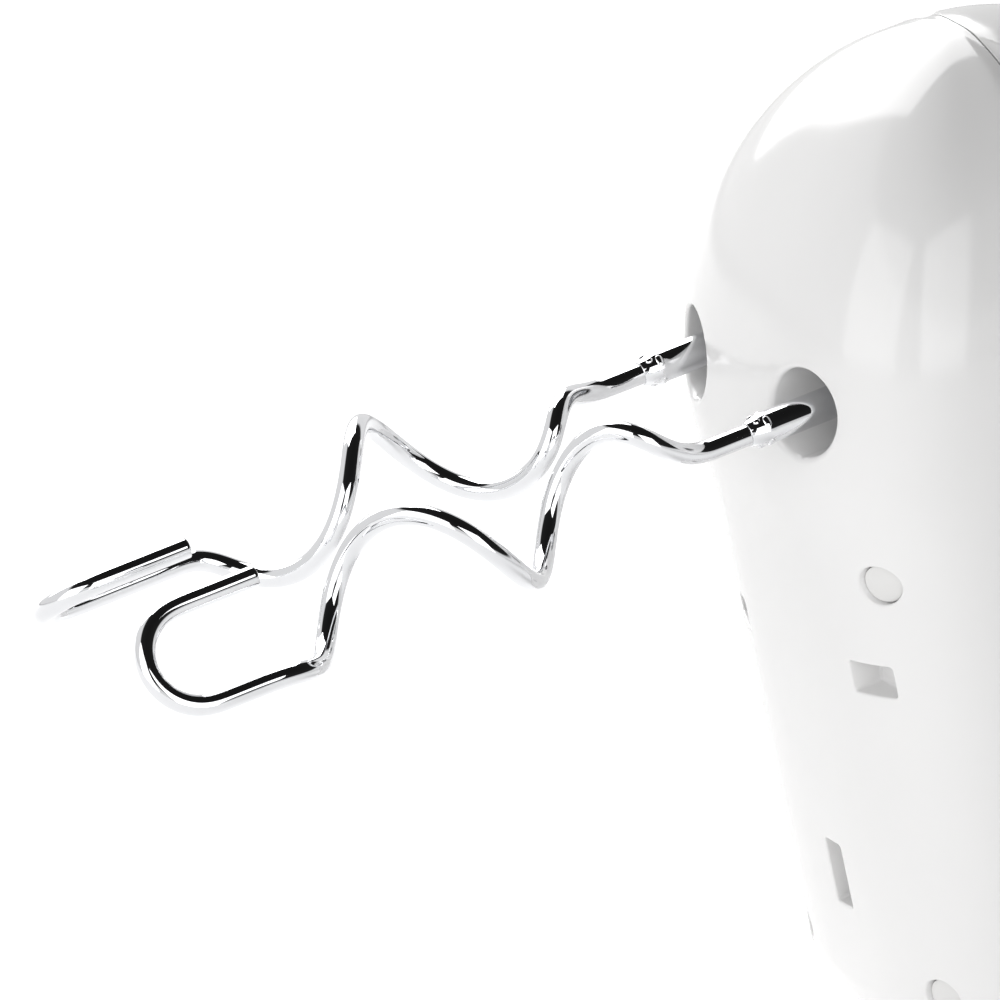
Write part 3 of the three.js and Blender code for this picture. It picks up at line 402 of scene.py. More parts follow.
def seam_edge(skin, chain, corners, inward, profile):
    """Turns the closed boundary chain at the seam inwards. corners are the sharp corner points,
    inward unit vectors in the seam plane, profile (depth, y shift) pairs after the round."""
    start = skin.at(chain)
    ring = chain
    round_end = corners + inward * SEAM_ROUND
    for t in (0.3, 0.6, 1.0):
        row = skin.add((1 - t) ** 2 * start + 2 * t * (1 - t) * corners + t * t * round_end)
        skin.band(ring, row)
        ring = row
    for depth, shift in profile:
        row = skin.add(corners + inward * depth + np.array([0, shift, 0]))
        skin.band(ring, row)
        ring = row


def seam_chain(lattice, sides, plane_y):
    """The boundary of a shell in order, up one side, over the nose, down the other side, and the
    corner points and inward directions that go with it. sides are the two end columns."""
    first, second = sides
    chain = np.concatenate([lattice.index[first, :], lattice.index[second, ::-1]])
    s = np.concatenate([lattice.s[first, :], lattice.s[second, ::-1]])
    v = np.concatenate([lattice.v[first, :], lattice.v[second, ::-1]])
    start = surface(s, v)
    along = surface(s + 0.02, v) - surface(s - 0.02, v)
    rise = surface(s, v + 0.02) - surface(s, np.maximum(v - 0.02, 0))
    normal = np.cross(along, rise)
    corners = start + along * ((plane_y - start[:, 1]) / along[:, 1])[:, None]
    inward = -normal * [1, 0, 1]
    inward /= np.linalg.norm(inward, axis=1, keepdims=True)
    return chain, corners, inward


# ------------------------------------------------------------------ materials
def tree_of(name):
    """New material, with its node tree, its shader and coordinates along the mixer's own axes."""
    surface_material = bpy.data.materials.new(name)
    surface_material.use_nodes = True
    tree = surface_material.node_tree
    shader = tree.nodes["Principled BSDF"]
    coordinates = tree.nodes.new("ShaderNodeTexCoord")
    mapping = tree.nodes.new("ShaderNodeMapping")
    mapping.inputs["Rotation"].default_value = (-LEAN, 0, 0)
    tree.links.new(coordinates.outputs["Object"], mapping.inputs["Vector"])
    return surface_material, tree, shader, mapping.outputs["Vector"]


def noise(tree, place, scale, detail=2.0, roughness=0.5):
    node = tree.nodes.new("ShaderNodeTexNoise")
    node.inputs["Scale"].default_value = scale
    node.inputs["Detail"].default_value = detail
    node.inputs["Roughness"].default_value = roughness
    tree.links.new(place, node.inputs["Vector"])
    return node.outputs["Fac"]


def ramp(tree, value, stops):
    node = tree.nodes.new("ShaderNodeValToRGB")
    while len(node.color_ramp.elements) < len(stops):
        node.color_ramp.elements.new(0.5)
    for element, (position, color) in zip(node.color_ramp.elements, stops):
        element.position = position
        element.color = (*color, 1) if len(color) == 3 else color
    tree.links.new(value, node.inputs["Fac"])
    return node.outputs["Color"]


def span(tree, value, low, high):
    node = tree.nodes.new("ShaderNodeMapRange")
    node.inputs["To Min"].default_value = low
    node.inputs["To Max"].default_value = high
    tree.links.new(value, node.inputs["Value"])
    return node.outputs["Result"]


def bump(tree, shader, height, distance, strength=1.0):
    node = tree.nodes.new("ShaderNodeBump")
    node.inputs["Strength"].default_value = strength
    node.inputs["Distance"].default_value = distance
    tree.links.new(height, node.inputs["Height"])
    tree.links.new(node.outputs["Normal"], shader.inputs["Normal"])


def bands(tree, place, scale, direction, kind="BANDS", distortion=0.0):
    node = tree.nodes.new("ShaderNodeTexWave")
    node.wave_type = kind
    if kind == "BANDS":
        node.bands_direction = direction
    else:
        node.rings_direction = direction
    node.inputs["Scale"].default_value = scale
    node.inputs["Distortion"].default_value = distortion
    node.inputs["Detail Scale"].default_value = 2.0
    tree.links.new(place, node.inputs["Vector"])
    return node.outputs["Fac"]


def plastic(name, color, gloss, tint=0.02, grain=None):
    """Moulded plastic: a little flow variation in colour and gloss, and a fine skin texture."""
    surface_material, tree, shader, place = tree_of(name)
    low = tuple(c * (1 - tint) for c in color)
    high = tuple(min(1, c * (1 + tint)) for c in color)
    flow = noise(tree, place, 28, 3)
    tree.links.new(ramp(tree, flow, [(0.3, low), (0.7, high)]), shader.inputs["Base Color"])
    fine = noise(tree, place, 160, 2)
    tree.links.new(span(tree, fine, gloss * 0.8, gloss * 1.25), shader.inputs["Roughness"])
    scale, distance = grain or (260, 0.00001)
    bump(tree, shader, noise(tree, place, scale, 2), distance)
    shader.inputs["IOR"].default_value = 1.5
    return surface_material


def metal(name, color, gloss, lines=None, wave=0.000004):
    """Metal: gloss variation, faint unevenness, and turning or rolling lines where asked for."""
    surface_material, tree, shader, place = tree_of(name)
    shader.inputs["Metallic"].default_value = 1.0
    patch = noise(tree, place, 90, 3)
    low = tuple(c * 0.93 for c in color)
    tree.links.new(ramp(tree, patch, [(0.25, low), (0.75, color)]), shader.inputs["Base Color"])
    tree.links.new(span(tree, noise(tree, place, 420, 3), gloss * 0.7, gloss * 1.4),
                   shader.inputs["Roughness"])
    if lines:
        scale, direction = lines
        bump(tree, shader, bands(tree, place, scale, direction, distortion=0.6), 0.00003)
    else:
        bump(tree, shader, noise(tree, place, 120, 2), wave)
    return surface_material


def winding(name, color, direction):
    """Enamelled wire laid side by side; the darker stripes between the turns are painted shade in the
    grooves.
    """
    surface_material, tree, shader, place = tree_of(name)
    shader.inputs["Metallic"].default_value = 0.85
    shader.inputs["Coat Weight"].default_value = 0.6
    wires = bands(tree, place, 330, direction, distortion=1.2)
    # dark: painted shade in the grooves between neighbouring turns of wire
    dark = tuple(c * 0.35 for c in color)
    tree.links.new(ramp(tree, wires, [(0.1, dark), (0.55, color)]), shader.inputs["Base Color"])
    tree.links.new(span(tree, noise(tree, place, 200), 0.22, 0.42), shader.inputs["Roughness"])
    bump(tree, shader, wires, 0.00025)
    return surface_material


def laminations(name):
    """Stacked steel sheets seen on edge."""
    surface_material, tree, shader, place = tree_of(name)
    shader.inputs["Metallic"].default_value = 1.0
    sheets = bands(tree, place, 310, "Z", distortion=0.4)
    tone = ramp(tree, sheets, [(0.15, (0.06, 0.06, 0.065)), (0.6, (0.32, 0.33, 0.35))])
    tree.links.new(tone, shader.inputs["Base Color"])
    tree.links.new(span(tree, noise(tree, place, 150), 0.35, 0.6), shader.inputs["Roughness"])
    bump(tree, shader, sheets, 0.00015)
    return surface_material


def board():
    """Phenolic circuit board with a maze of tracks under green lacquer."""
    surface_material, tree, shader, place = tree_of("circuit_board_lacquer")
    node = tree.nodes.new("ShaderNodeTexBrick")
    node.inputs["Color1"].default_value = (0.012, 0.11, 0.035, 1)
    node.inputs["Color2"].default_value = (0.015, 0.14, 0.045, 1)
    node.inputs["Mortar"].default_value = (0.03, 0.22, 0.08, 1)
    node.inputs["Scale"].default_value = 90
    node.inputs["Mortar Size"].default_value = 0.06
    tree.links.new(place, node.inputs["Vector"])
    tree.links.new(node.outputs["Color"], shader.inputs["Base Color"])
    tree.links.new(span(tree, noise(tree, place, 240), 0.25, 0.4), shader.inputs["Roughness"])
    bump(tree, shader, node.outputs["Fac"], 0.00003)
    return surface_material


WHITE = plastic("white_shell_plastic", (0.665, 0.662, 0.66), 0.13, 0.006, (420, 0.0000012))
# the plugs' plastic is the shell white darkened: painted shade for faces sitting down in their wells
PLUG_PAINTED_SHADE = plastic("plug_plastic_painted_shade", (0.6, 0.597, 0.59), 0.22, 0.01, (420, 0.000003))
GREY = plastic("grey_control_plastic", (0.27, 0.285, 0.3), 0.38, 0.03, (1100, 0.00003))
DARK = plastic("dark_plastic", (0.03, 0.031, 0.034), 0.42, 0.1, (900, 0.00002))
RUBBER = plastic("grip_rubber", (0.09, 0.095, 0.105), 0.68, 0.08, (1500, 0.00006))
NYLON = plastic("nylon", (0.72, 0.68, 0.57), 0.4, 0.03, (700, 0.00002))
CARBON = plastic("brush_carbon", (0.018, 0.018, 0.02), 0.6, 0.25, (1800, 0.00005))
LEAD = plastic("lead_jacket", (0.02, 0.07, 0.3), 0.35, 0.06, (600, 0.00001))
CHROME = metal("chrome_plate", (0.78, 0.785, 0.8), 0.03, wave=0.0000015)
STEEL = metal("turned_steel", (0.5, 0.51, 0.53), 0.28, (500, "Y"))
SHAFT_STEEL = metal("ground_steel", (0.52, 0.53, 0.55), 0.2, (600, "Z"))
BRONZE = metal("sintered_bronze", (0.42, 0.27, 0.1), 0.45, wave=0.00003)
COPPER_BAR = metal("commutator_copper", (0.75, 0.36, 0.2), 0.3, (700, "Z"))
LAMINATION = laminations("stack_laminations")
COIL_WIRE = winding("coil_wire", (0.62, 0.25, 0.1), "Y")
ARMATURE_WIRE = winding("armature_wire", (0.62, 0.25, 0.1), "X")
BOARD = board()

# ------------------------------------------------------------------ motor housing shell
CELL = 1.5
FULL_ROW = 40  # a row where the housing has its full width


def rows_up_to(depth_share):
    """Row levels from the heel to where the nose has narrowed to a share of its depth."""
    rising = np.linspace(V_NOSE, V_POLE, 2000)
    top = np.interp(-depth_share, -level(rising)[3], rising)
    fillet = np.linspace(0, V_FILLET, 14)
    easing = np.linspace(V_FILLET, V_FLAT, 11)[1:]
    straight = np.linspace(V_FLAT, V_NOSE, int((V_NOSE - V_FLAT) / CELL))[1:]
    nose = np.linspace(V_NOSE, top, int((top - V_NOSE) / CELL))[1:]
    return np.concatenate([fillet, easing, straight, nose])


def seam_s(v, plane_y):
    """Where the seam plane cuts each row, as a distance along the section."""
    return section_at_y(NOSE_Y + (plane_y - NOSE_Y) / level(v)[3])


FRONT = (0, 1, 0)
v_rows = rows_up_to(0.05)
ends = seam_s(v_rows, SEAM_FRONT_Y) - SEAM_ROUND
columns = 2 * int(ends[FULL_ROW] / CELL)
shell = Skin()
grid = Lattice(
    shell,
    np.outer(np.linspace(-1, 1, columns + 1), ends),
    np.tile(v_rows, (columns + 1, 1)),
)
LEVEL_V = float(V_NOSE)  # about the row of z = 0: a first guess for find() is LEVEL_V + z
for side in (-1, 1):
    # hook sockets
    ring = grid.round_hole(side * HOOK_X, 0, SOCKET_RADIUS, 3.4, 1.2, FRONT, (side * 22.0, LEVEL_V))
    wall(shell, ring, FRONT, SOCKET_DEPTH_Y, steps=9, taper=0.35, fillet=1.2)
    # screw wells
    for place, rim in (("upper", 0.55), ("lower", 0.5)):
        x, z = SCREW_PLACES[place]
        near = (side * (x + 2.0), LEVEL_V + z)
        ring = grid.round_hole(side * x, z, SCREW_WELL_RADIUS, 2.4, rim, FRONT, near)
        wall(shell, ring, FRONT, 30.0, steps=4)
    # latch pockets
    middle = (LATCH_LOW + LATCH_HIGH) / 2
    half = (5.0, (LATCH_HIGH - LATCH_LOW) / 2)
    near = (side * 26.0, LEVEL_V + middle)
    ring = grid.hole((side * LATCH_X, middle), 0, half, 0.7, 2.6, 0.45, FRONT, near)
    wall(shell, ring, FRONT, LATCH_FLOOR_Y, steps=4, taper=0.15)
    # cooling vents
    inside = (-side, 0, 0)
    for k in range(VENT_COUNT):
        z = VENT_FIRST_Z + VENT_PITCH * k
        near = (side * 71.0, LEVEL_V + z)
        ring = grid.hole((VENT_Y, z), 1, (6.0, 1.5), 1.45, 1.5, 0.5, inside, near)
        wall(shell, ring, inside, (2.0,), steps=2, floor=False)
# upright slot
middle = (SLOT_LOW + SLOT_HIGH) / 2
half = (3.0, (SLOT_HIGH - SLOT_LOW) / 2)
ring = grid.hole((0.0, middle), 0, half, 0.7, 2.6, 0.45, FRONT, (0.0, LEVEL_V + middle))
wall(shell, ring, FRONT, SLOT_FLOOR_Y, steps=3, taper=0.1)
grid.close()
shell.faces.append(tuple(grid.index[::-1, 0]))
shell.faces.append(tuple(grid.index[:, -1]))
chain, corners, inward = seam_chain(grid, (-1, 0), SEAM_FRONT_Y)
seam_edge(shell, chain, corners, inward, [(1.1, 0), (1.1, -2.0)])
shell.piece("motor_shell", WHITE, "housing", ["motor_housing"], 35)

# ------------------------------------------------------------------ handle housing shell
BACK = (0, -1, 0)
half_length = SECTION_LENGTH / 2
v_rows = rows_up_to(0.066)
starts = seam_s(v_rows, SEAM_BACK_Y) + SEAM_ROUND
columns = 2 * int((half_length - starts[FULL_ROW]) / CELL)
share = np.linspace(0, 1, columns + 1)[:, None]
shell = Skin()
grid = Lattice(
    shell,
    lerp(starts[None, :], SECTION_LENGTH - starts[None, :], share),
    np.tile(v_rows, (columns + 1, 1)),
)
GRIP_RIM = 3.4
GRIP_HOLE = {
    "at": (OPENING_Y, OPENING_Z), "axis": 1, "half": OPENING_HALF, "corner": OPENING_CORNER,
    "margin": GRIP_RIM + 0.9, "rim": GRIP_RIM,
}
near_s, near_v = section_at_y(OPENING_Y), LEVEL_V + OPENING_Z
grip_ring = grid.hole(**GRIP_HOLE, inward=(-1, 0, 0), near=(near_s, near_v))
i0, i1, j0, j1 = grid.blocks[-1]
mirrored = (columns - i1, columns - i0, j0, j1)
far_ring = grid.hole(
    **GRIP_HOLE, inward=(1, 0, 0), near=(SECTION_LENGTH - near_s, near_v), block=mirrored
)
# the far outline runs the other way round, from the mirrored corner
count = len(grip_ring)
b_ring = far_ring[(i1 - i0 - np.arange(count)) % count]
a, b = shell.at(grip_ring), shell.at(b_ring)
ring = grip_ring
for k in range(1, 9):
    t = k / 9
    row = shell.add(lerp(a, b, t))
    shell.band(ring, row)
    ring = row
shell.band(ring, b_ring)

# slot of the speed selector, then the holes of the two buttons and the cord inlet
near = (half_length, LEVEL_V + SELECTOR_Z)
ring = grid.hole((0.0, SELECTOR_Z), 0, (3.0, 13.0), 1.0, 2.6, 0.5, BACK, near)
wall(shell, ring, BACK, (2.2,), steps=2, floor=False)
for z, radius in ((TURBO_Z, TURBO_RADIUS + 0.4), (EJECT_Z, EJECT_RADIUS + 0.4), (INLET_Z, INLET_RADIUS)):
    ring = grid.round_hole(0.0, z, radius, 2.2, 0.5, BACK, (half_length, LEVEL_V + z))
    wall(shell, ring, BACK, (2.2,), steps=2, floor=False)
grid.close()
shell.faces.append(tuple(grid.index[::-1, 0]))
shell.faces.append(tuple(grid.index[:, -1]))
chain, corners, inward = seam_chain(grid, (-1, 0), SEAM_BACK_Y)
seam_edge(shell, chain, corners, inward, [(1.4, 0), (1.4, -1.8), (2.6, -1.8)])
shell.piece("handle_shell", WHITE, "housing", ["handle_housing"], 35)


# ------------------------------------------------------------------ turned and slab pieces
def turned(skin, profile, segments, x=0.0, z=0.0):
    """Turned about an axis along y: profile is (radius, y) from axis to axis or closed."""
    angles = np.linspace(0, 2 * np.pi, segments, endpoint=False)
    rings = []
    for radius, y in profile:
        if radius < 1e-6:
            rings.append(("tip", skin.add([[x, y, z]])))
        else:
            ring = np.column_stack([
                x + radius * np.cos(angles), np.full(segments, y), z + radius * np.sin(angles)
            ])
            rings.append(("ring", skin.add(ring)))
    for (kind_a, a), (kind_b, b) in zip(rings, rings[1:]):
        if kind_a == kind_b == "ring":
            skin.band(a, b)
        elif kind_a == "tip":
            for k in range(segments):
                skin.faces.append((a[0], b[(k + 1) % segments], b[k]))
        else:
            for k in range(segments):
                skin.faces.append((a[k], a[(k + 1) % segments], b[0]))


def eased(profile, radius, steps=3):
    """A (radius, y) profile with its corners rounded."""
    points = [np.array(p, float) for p in profile]
    out = [points[0]]
    for before, here, after in zip(points, points[1:], points[2:]):
        reach = min(radius, 0.45 * np.linalg.norm(before - here), 0.45 * np.linalg.norm(after - here))
        start = here + (before - here) / np.linalg.norm(before - here) * reach
        end = here + (after - here) / np.linalg.norm(after - here) * reach
        for k in range(steps + 1):
            t = k / steps
            out.append((1 - t) ** 2 * start + 2 * t * (1 - t) * here + t * t * end)
    out.append(points[-1])
    return out


def slab(skin, x0, x1, z0, z1, y_low, y_high, corner, edge, crown=0.0):
    """Rounded rectangular slab along y, with rounded edges on its y_high face."""
    sign = 1 if y_high > y_low else -1
    half_x, half_z = (x1 - x0) / 2, (z1 - z0) / 2
    middle = np.array([(x0 + x1) / 2, 0, (z0 + z1) / 2])
    counts = (16, 16)

    def ring(inset, y):
        p = rounded(counts, half_x - inset, half_z - inset, max(corner - inset, 0.05))
        return skin.add(middle + np.column_stack([p[:, 0], np.full(len(p), y), p[:, 1]]))

    rows = [ring(0, y_low)]
    for k in range(6):
        angle = np.pi / 2 * k / 5
        inset = edge * (1 - math.cos(angle))
        rows.append(ring(inset, y_high - sign * edge * (1 - math.sin(angle))))
    def join(outer, inner):
        if sign < 0:
            skin.band(outer, inner)
        else:
            skin.band(inner, outer)

    for a, b in zip(rows, rows[1:]):
        join(a, b)
    top = rows[-1]
    points = skin.at(top)
    centre = points.mean(0)
    for k in range(1, 4):
        share = k / 4
        inner = centre + (points - centre) * (1 - share)
        inner[:, 1] += sign * crown * (1 - (1 - share) ** 2)
        row = skin.add(inner)
        join(top, row)
        top = row
    skin.faces.append(tuple(top[::-sign]))
    skin.faces.append(tuple(rows[0][::sign]))


def front_y(x, z):
    """Where the underside lies at x and z."""
    s, v = find(x, z, 0, np.asarray(x) * 1.06, np.asarray(z, float) + V_NOSE - NOSE_Z)
    return surface(s, v)[..., 1]


# screw plugs, gently dished discs that follow the underside a millimetre down their wells; their plastic is
# the shell's white darkened as painted shade of the recess
turns = np.linspace(0, 2 * np.pi, 48, endpoint=False)
for level_name, side_name in (("upper", "left"), ("upper", "right"), ("lower", "left"), ("lower", "right")):
    name = f"{level_name}_{side_name}"
    x, z = SCREW_PLACES[level_name]
    x *= -1 if side_name == "left" else 1
    plug = Skin()
    rows = []
    for radius, depth in ((0.01, 1.55), (1.6, 1.5), (2.7, 1.35), (3.3, 1.2), (3.6, 1.22), (3.72, 1.4)):
        px, pz = x + radius * np.cos(turns), z + radius * np.sin(turns)
        rows.append(plug.add(np.column_stack([px, front_y(px, pz) + depth, pz])))
    base = front_y(np.array([x]), np.array([z]))[0] + 7.5
    rows.append(plug.add(np.column_stack([px, np.full(48, base), pz])))
    for a, b in zip(rows, rows[1:]):
        plug.band(a, b)
    plug.cap(rows[0][::-1])
    plug.cap(rows[-1])
    plug.piece(f"plug_{name}", PLUG_PAINTED_SHADE, "housing", [f"screw_plug_{name}"], 50)

# ------------------------------------------------------------------ controls
button = Skin()
turned(button, eased([
    (0, 120.45), (3.2, 120.3), (5.0, 119.9), (5.0, 113.4), (6.6, 113.4), (6.6, 111), (0, 111),
], 0.5, 4), 56, 0, TURBO_Z)
button.piece("turbo_cap", GREY, "turbo", ["turbo_button"], 50)

selector = Skin()
slab(selector, -6.5, 6.5, -34.5, -22.0, 118.65, 121.0, 4.0, 0.8)
for k in range(3):
    z = -34 + 3.0 + 2.6 * k
    slab(selector, -4.6, 4.6, z, z + 1.2, 120.8, 121.38, 0.6, 0.35)
slab(selector, -2.5, 2.5, -33.5, -23, 120.0, 113.2, 0.8, 0.3)
slab(selector, -6, 6, -35, -21, 114.4, 111.2, 1.0, 0.4)
selector.piece("speed_slider", GREY, "selector", ["speed_selector"], 40)


def back_y(x, z):
    """Where the outer face of the grip lies at x and z."""
    s, v = find(x, z, 0, np.full(np.shape(x), half_length), LEVEL_V + z)
    return surface(s, v)[..., 1]


eject = Skin()
turns = np.linspace(0, 2 * np.pi, 64, endpoint=False)
rows = []
for radius, lift in (
    (0, 2.7), (2, 2.7), (4, 2.72), (5.6, 2.8), (6.8, 2.85), (7.4, 2.75), (7.8, 2.45), (EJECT_RADIUS, 1.9),
):
    x, z = radius * np.cos(turns), EJECT_Z + radius * np.sin(turns)
    rows.append(eject.add(np.column_stack([x, back_y(x, z) + lift, z])))
    if radius == 0:
        rows[-1] = rows[-1][:1]
for k in range(64):
    eject.faces.append((rows[0][0], rows[1][k], rows[1][(k + 1) % 64]))
for a, b in zip(rows[1:], rows[2:]):
    eject.band(b, a)
foot = eject.add(np.column_stack([x, np.full(64, 98.0), z]))
eject.band(foot, rows[-1])
eject.cap(foot[::-1])
turned(eject, eased([
    (0, 99), (2.4, 99), (2.4, 92.5), (5, 92.5), (5, 91), (2.4, 91), (2.4, 63.0), (0, 63.0),
], 0.3), 32, 0, EJECT_Z)
eject.piece("eject_cap", GREY, "ejector", ["eject_button"], 50)

# scale beside the speed selector: six raised marks that grow longer
marks = Skin()
for k in range(6):
    z = -28.2 + 2.8 * k
    reach = 1.2 + 0.45 * k
    y = float(back_y(np.array([8.3 + reach / 2]), np.array([z]))[0])
    slab(marks, 8.3, 8.3 + reach, z - 0.3, z + 0.3, y - 0.7, y + 0.28, 0.3, 0.12)
marks.piece("speed_marks", GREY, "housing", (), 40)

# grip pad with cross ribs, on the inner face of the grip
pad = Skin()
slab(pad, -11, 11, -99, -1, 95.7, 94.62, 5.0, 0.7)
for k in range(15):
    z = -92 + 6.0 * k
    slab(pad, -8.5, 8.5, z - 1.1, z + 1.1, 94.9, 94.24, 1.1, 0.35)
pad.piece("ribbed_grip_pad", RUBBER, "housing", ["grip_pad"], 40)

# cord inlet grommet
inlet = Skin()
turned(inlet, eased([
    (3.6, 115.0), (3.6, 120.9), (6.85, 120.9), (6.85, 118.7), (5.25, 118.7), (5.25, 109.1), (3.6, 109.1),
    (3.6, 115.0),
], 0.5, 4), 48, 0, INLET_Z)
inlet.piece("inlet_grommet", DARK, "housing", ["cord_inlet"], 50)

# ------------------------------------------------------------------ hooks
HOOK = {
    "helix": 10.5, "pitch": 46.0, "bend_start": 11.3, "bend_length": 19.2,
    "wind_middle": 20.9, "wind_length": 16.0, "unwind_length": 11.7,
    "tip": 129.1, "cut_end": 102.5, "loop": 9.6,
}
HOOK_SHAPE = {"left": (223.3, 91.8), "right": (138.2, 99.6)}


def eased_ramp(x, middle, length):
    """Rises from 0 with a slope that eases from 0 to 1 over a length about the middle."""
    t = min(1, max(0, (x - middle) / length + 0.5))
    return length * (t**3 - t**4 / 2) + max(0, x - middle - length / 2)


def hook_points(side, name):
    """Centre line of a hook: straight, a corkscrew, then a flat return loop centred on the axis."""
    start_angle, helix_end = HOOK_SHAPE[name]
    points = []

    def place(along, radius, angle):
        points.append((
            side * (HOOK_X + radius * math.sin(angle)), -along, -radius * math.cos(angle)
        ))

    def angle_at(along):
        wound = eased_ramp(along, HOOK["wind_middle"], HOOK["wind_length"])
        unwound = eased_ramp(along, helix_end, HOOK["unwind_length"])
        return math.radians(start_angle) + 2 * math.pi * (wound - unwound) / HOOK["pitch"]

    def radius_at(along):
        outwards = float(smooth((along - HOOK["bend_start"]) / HOOK["bend_length"]))
        length = HOOK["unwind_length"]
        inwards = float(smooth((along - helix_end + length / 2) / (length + 4)))
        return HOOK["helix"] * outwards - (HOOK["helix"] - HOOK["loop"]) * inwards

    for along in (-6, 0, 4, 8):
        place(along, 0, 0)
    loop_start = HOOK["tip"] - HOOK["loop"]
    for k in range(64):
        along = lerp(HOOK["bend_start"], loop_start, k / 64)
        place(along, radius_at(along), angle_at(along))
    flat = angle_at(loop_start)
    for k in range(17):
        angle = math.pi * k / 16
        place(loop_start + HOOK["loop"] * math.sin(angle), HOOK["loop"] * math.cos(angle), flat)
    place(lerp(loop_start, HOOK["cut_end"], 0.5), -HOOK["loop"], flat)
    place(HOOK["cut_end"], -HOOK["loop"], flat)
    return np.array(points)


def through(points, step):
    """Smooth curve through points (centripetal Catmull-Rom), at even steps of length."""
    extended = np.vstack([2 * points[0] - points[1], points, 2 * points[-1] - points[-2]])
    dense = []
    for p0, p1, p2, p3 in zip(extended, extended[1:], extended[2:], extended[3:]):
        t0 = 0.0
        t1 = t0 + np.linalg.norm(p1 - p0) ** 0.5
        t2 = t1 + np.linalg.norm(p2 - p1) ** 0.5
        t3 = t2 + np.linalg.norm(p3 - p2) ** 0.5
        for t in np.linspace(t1, t2, 24, endpoint=False):
            a1 = lerp(p0, p1, (t - t0) / (t1 - t0))
            a2 = lerp(p1, p2, (t - t1) / (t2 - t1))
            a3 = lerp(p2, p3, (t - t2) / (t3 - t2))
            b1 = lerp(a1, a2, (t - t0) / (t2 - t0))
            b2 = lerp(a2, a3, (t - t1) / (t3 - t1))
            dense.append(lerp(b1, b2, (t - t1) / (t2 - t1)))
    dense.append(points[-1])
    dense = np.array(dense)
    length = np.concatenate([[0], np.cumsum(np.linalg.norm(np.diff(dense, axis=0), axis=1))])
    at = np.linspace(0, length[-1], int(length[-1] / step))
    even = np.column_stack([np.interp(at, length, dense[:, k]) for k in range(3)])
    for _ in range(24):  # ease the small kinks between bends
        even[1:-1] += 0.25 * (even[:-2] + even[2:] - 2 * even[1:-1])
    return even


def tube(skin, path, radius, sides, chamfer):
    """Round wire along a path, with chamfered flat ends."""
    along = np.gradient(path, axis=0)
    along /= np.linalg.norm(along, axis=1, keepdims=True)
    across = np.cross(along[0], [0.0, 0.0, 1.0])
    across /= np.linalg.norm(across)
    angles = np.linspace(0, 2 * np.pi, sides, endpoint=False)
    rings = []
    for p, t in zip(path, along):
        across = across - t * np.dot(across, t)
        across /= np.linalg.norm(across)
        other = np.cross(t, across)
        spoke = np.cos(angles)[:, None] * across + np.sin(angles)[:, None] * other
        rings.append(skin.add(p + radius * spoke))
    for a, b in zip(rings, rings[1:]):
        skin.band(a, b)
    for ring, p, t in ((rings[0], path[0], -along[0]), (rings[-1], path[-1], along[-1])):
        points = skin.at(ring)
        face = skin.add(p + (points - p) * (1 - chamfer / radius) + t * chamfer * 0.6)
        if ring is rings[0]:
            skin.band(face, ring)
            skin.faces.append(tuple(face[::-1]))
        else:
            skin.band(ring, face)
            skin.faces.append(tuple(face))


def knob(skin, centre, across, along, out, half):
    """Small rounded bump, as from a crimping tool."""
    rings = []
    count = 16
    angles = np.linspace(0, 2 * np.pi, count, endpoint=False)
    for k in range(5):
        rise = k / 5
        radius = math.sqrt(1 - rise**2)
        ring = centre + out * half[2] * rise
        ring = ring + radius * (
            np.cos(angles)[:, None] * across * half[0] + np.sin(angles)[:, None] * along * half[1]
        )
        rings.append(skin.add(ring))
    for a, b in zip(rings, rings[1:]):
        skin.band(a, b)
    tip = skin.add([centre + out * half[2]])
    for k in range(count):
        skin.faces.append((rings[-1][k], rings[-1][(k + 1) % count], tip[0]))


for name, side in (("left", -1), ("right", 1)):
    wire = Skin()
    tube(wire, through(hook_points(side, name), 0.55), WIRE_RADIUS, 32, 0.25)
    wire.piece(f"dough_wire_{name}", CHROME, f"hook_{name}", [f"hook_wire_{name}"], 60)

    shank = Skin()
    r = SHANK_RADIUS
    x = side * HOOK_X
    profile = eased([
        (2.02, -3.3), (2.25, -3.3), (2.7, -2.2), (3.0, -1.0), (r + 0.12, 0.3), (r, 1.6), (r, 26),
        (2.75, 26.6), (0, 26.6),
    ], 0.6, 5)
    turned(shank, profile[::-1], 48, x, 0)
    hexagon = []
    corner = (r - 0.4) / math.cos(math.pi / 6)
    angles = np.radians(60 * np.arange(6) + 30)
    for y, k in ((26, 1), (51.4, 1), (52.2, 0.86)):
        px, pz = x + k * corner * np.sin(angles), k * corner * np.cos(angles)
        hexagon.append(shank.add(np.column_stack([px, np.full(6, y), pz])))
    for a, b in zip(hexagon, hexagon[1:]):
        shank.band(b, a)
    shank.cap(hexagon[-1])
    for k, turn in enumerate((0.125, 0.375, 0.625, 0.875)):
        angle = 2 * math.pi * turn
        out = np.array([math.cos(angle), 0, math.sin(angle)])
        across = np.array([-math.sin(angle), 0, math.cos(angle)])
        for lift, at, half in ((0.0, 0.2, (1.25, 0.85, 0.5)), (0.12, -1.5, (0.6, 0.8, 0.4))):
            bend = 0.25 * (-1) ** k * (at < 0)
            aside = across * math.sin(bend) * r
            middle = np.array([x, at, 0]) + out * (r - 0.25 - 2 * lift) + aside
            knob(shank, middle, across, np.array([0, 1.0, 0]), out, half)
    shank.piece(f"shank_{name}", CHROME, f"hook_{name}", [f"hook_shank_{name}"], 40)

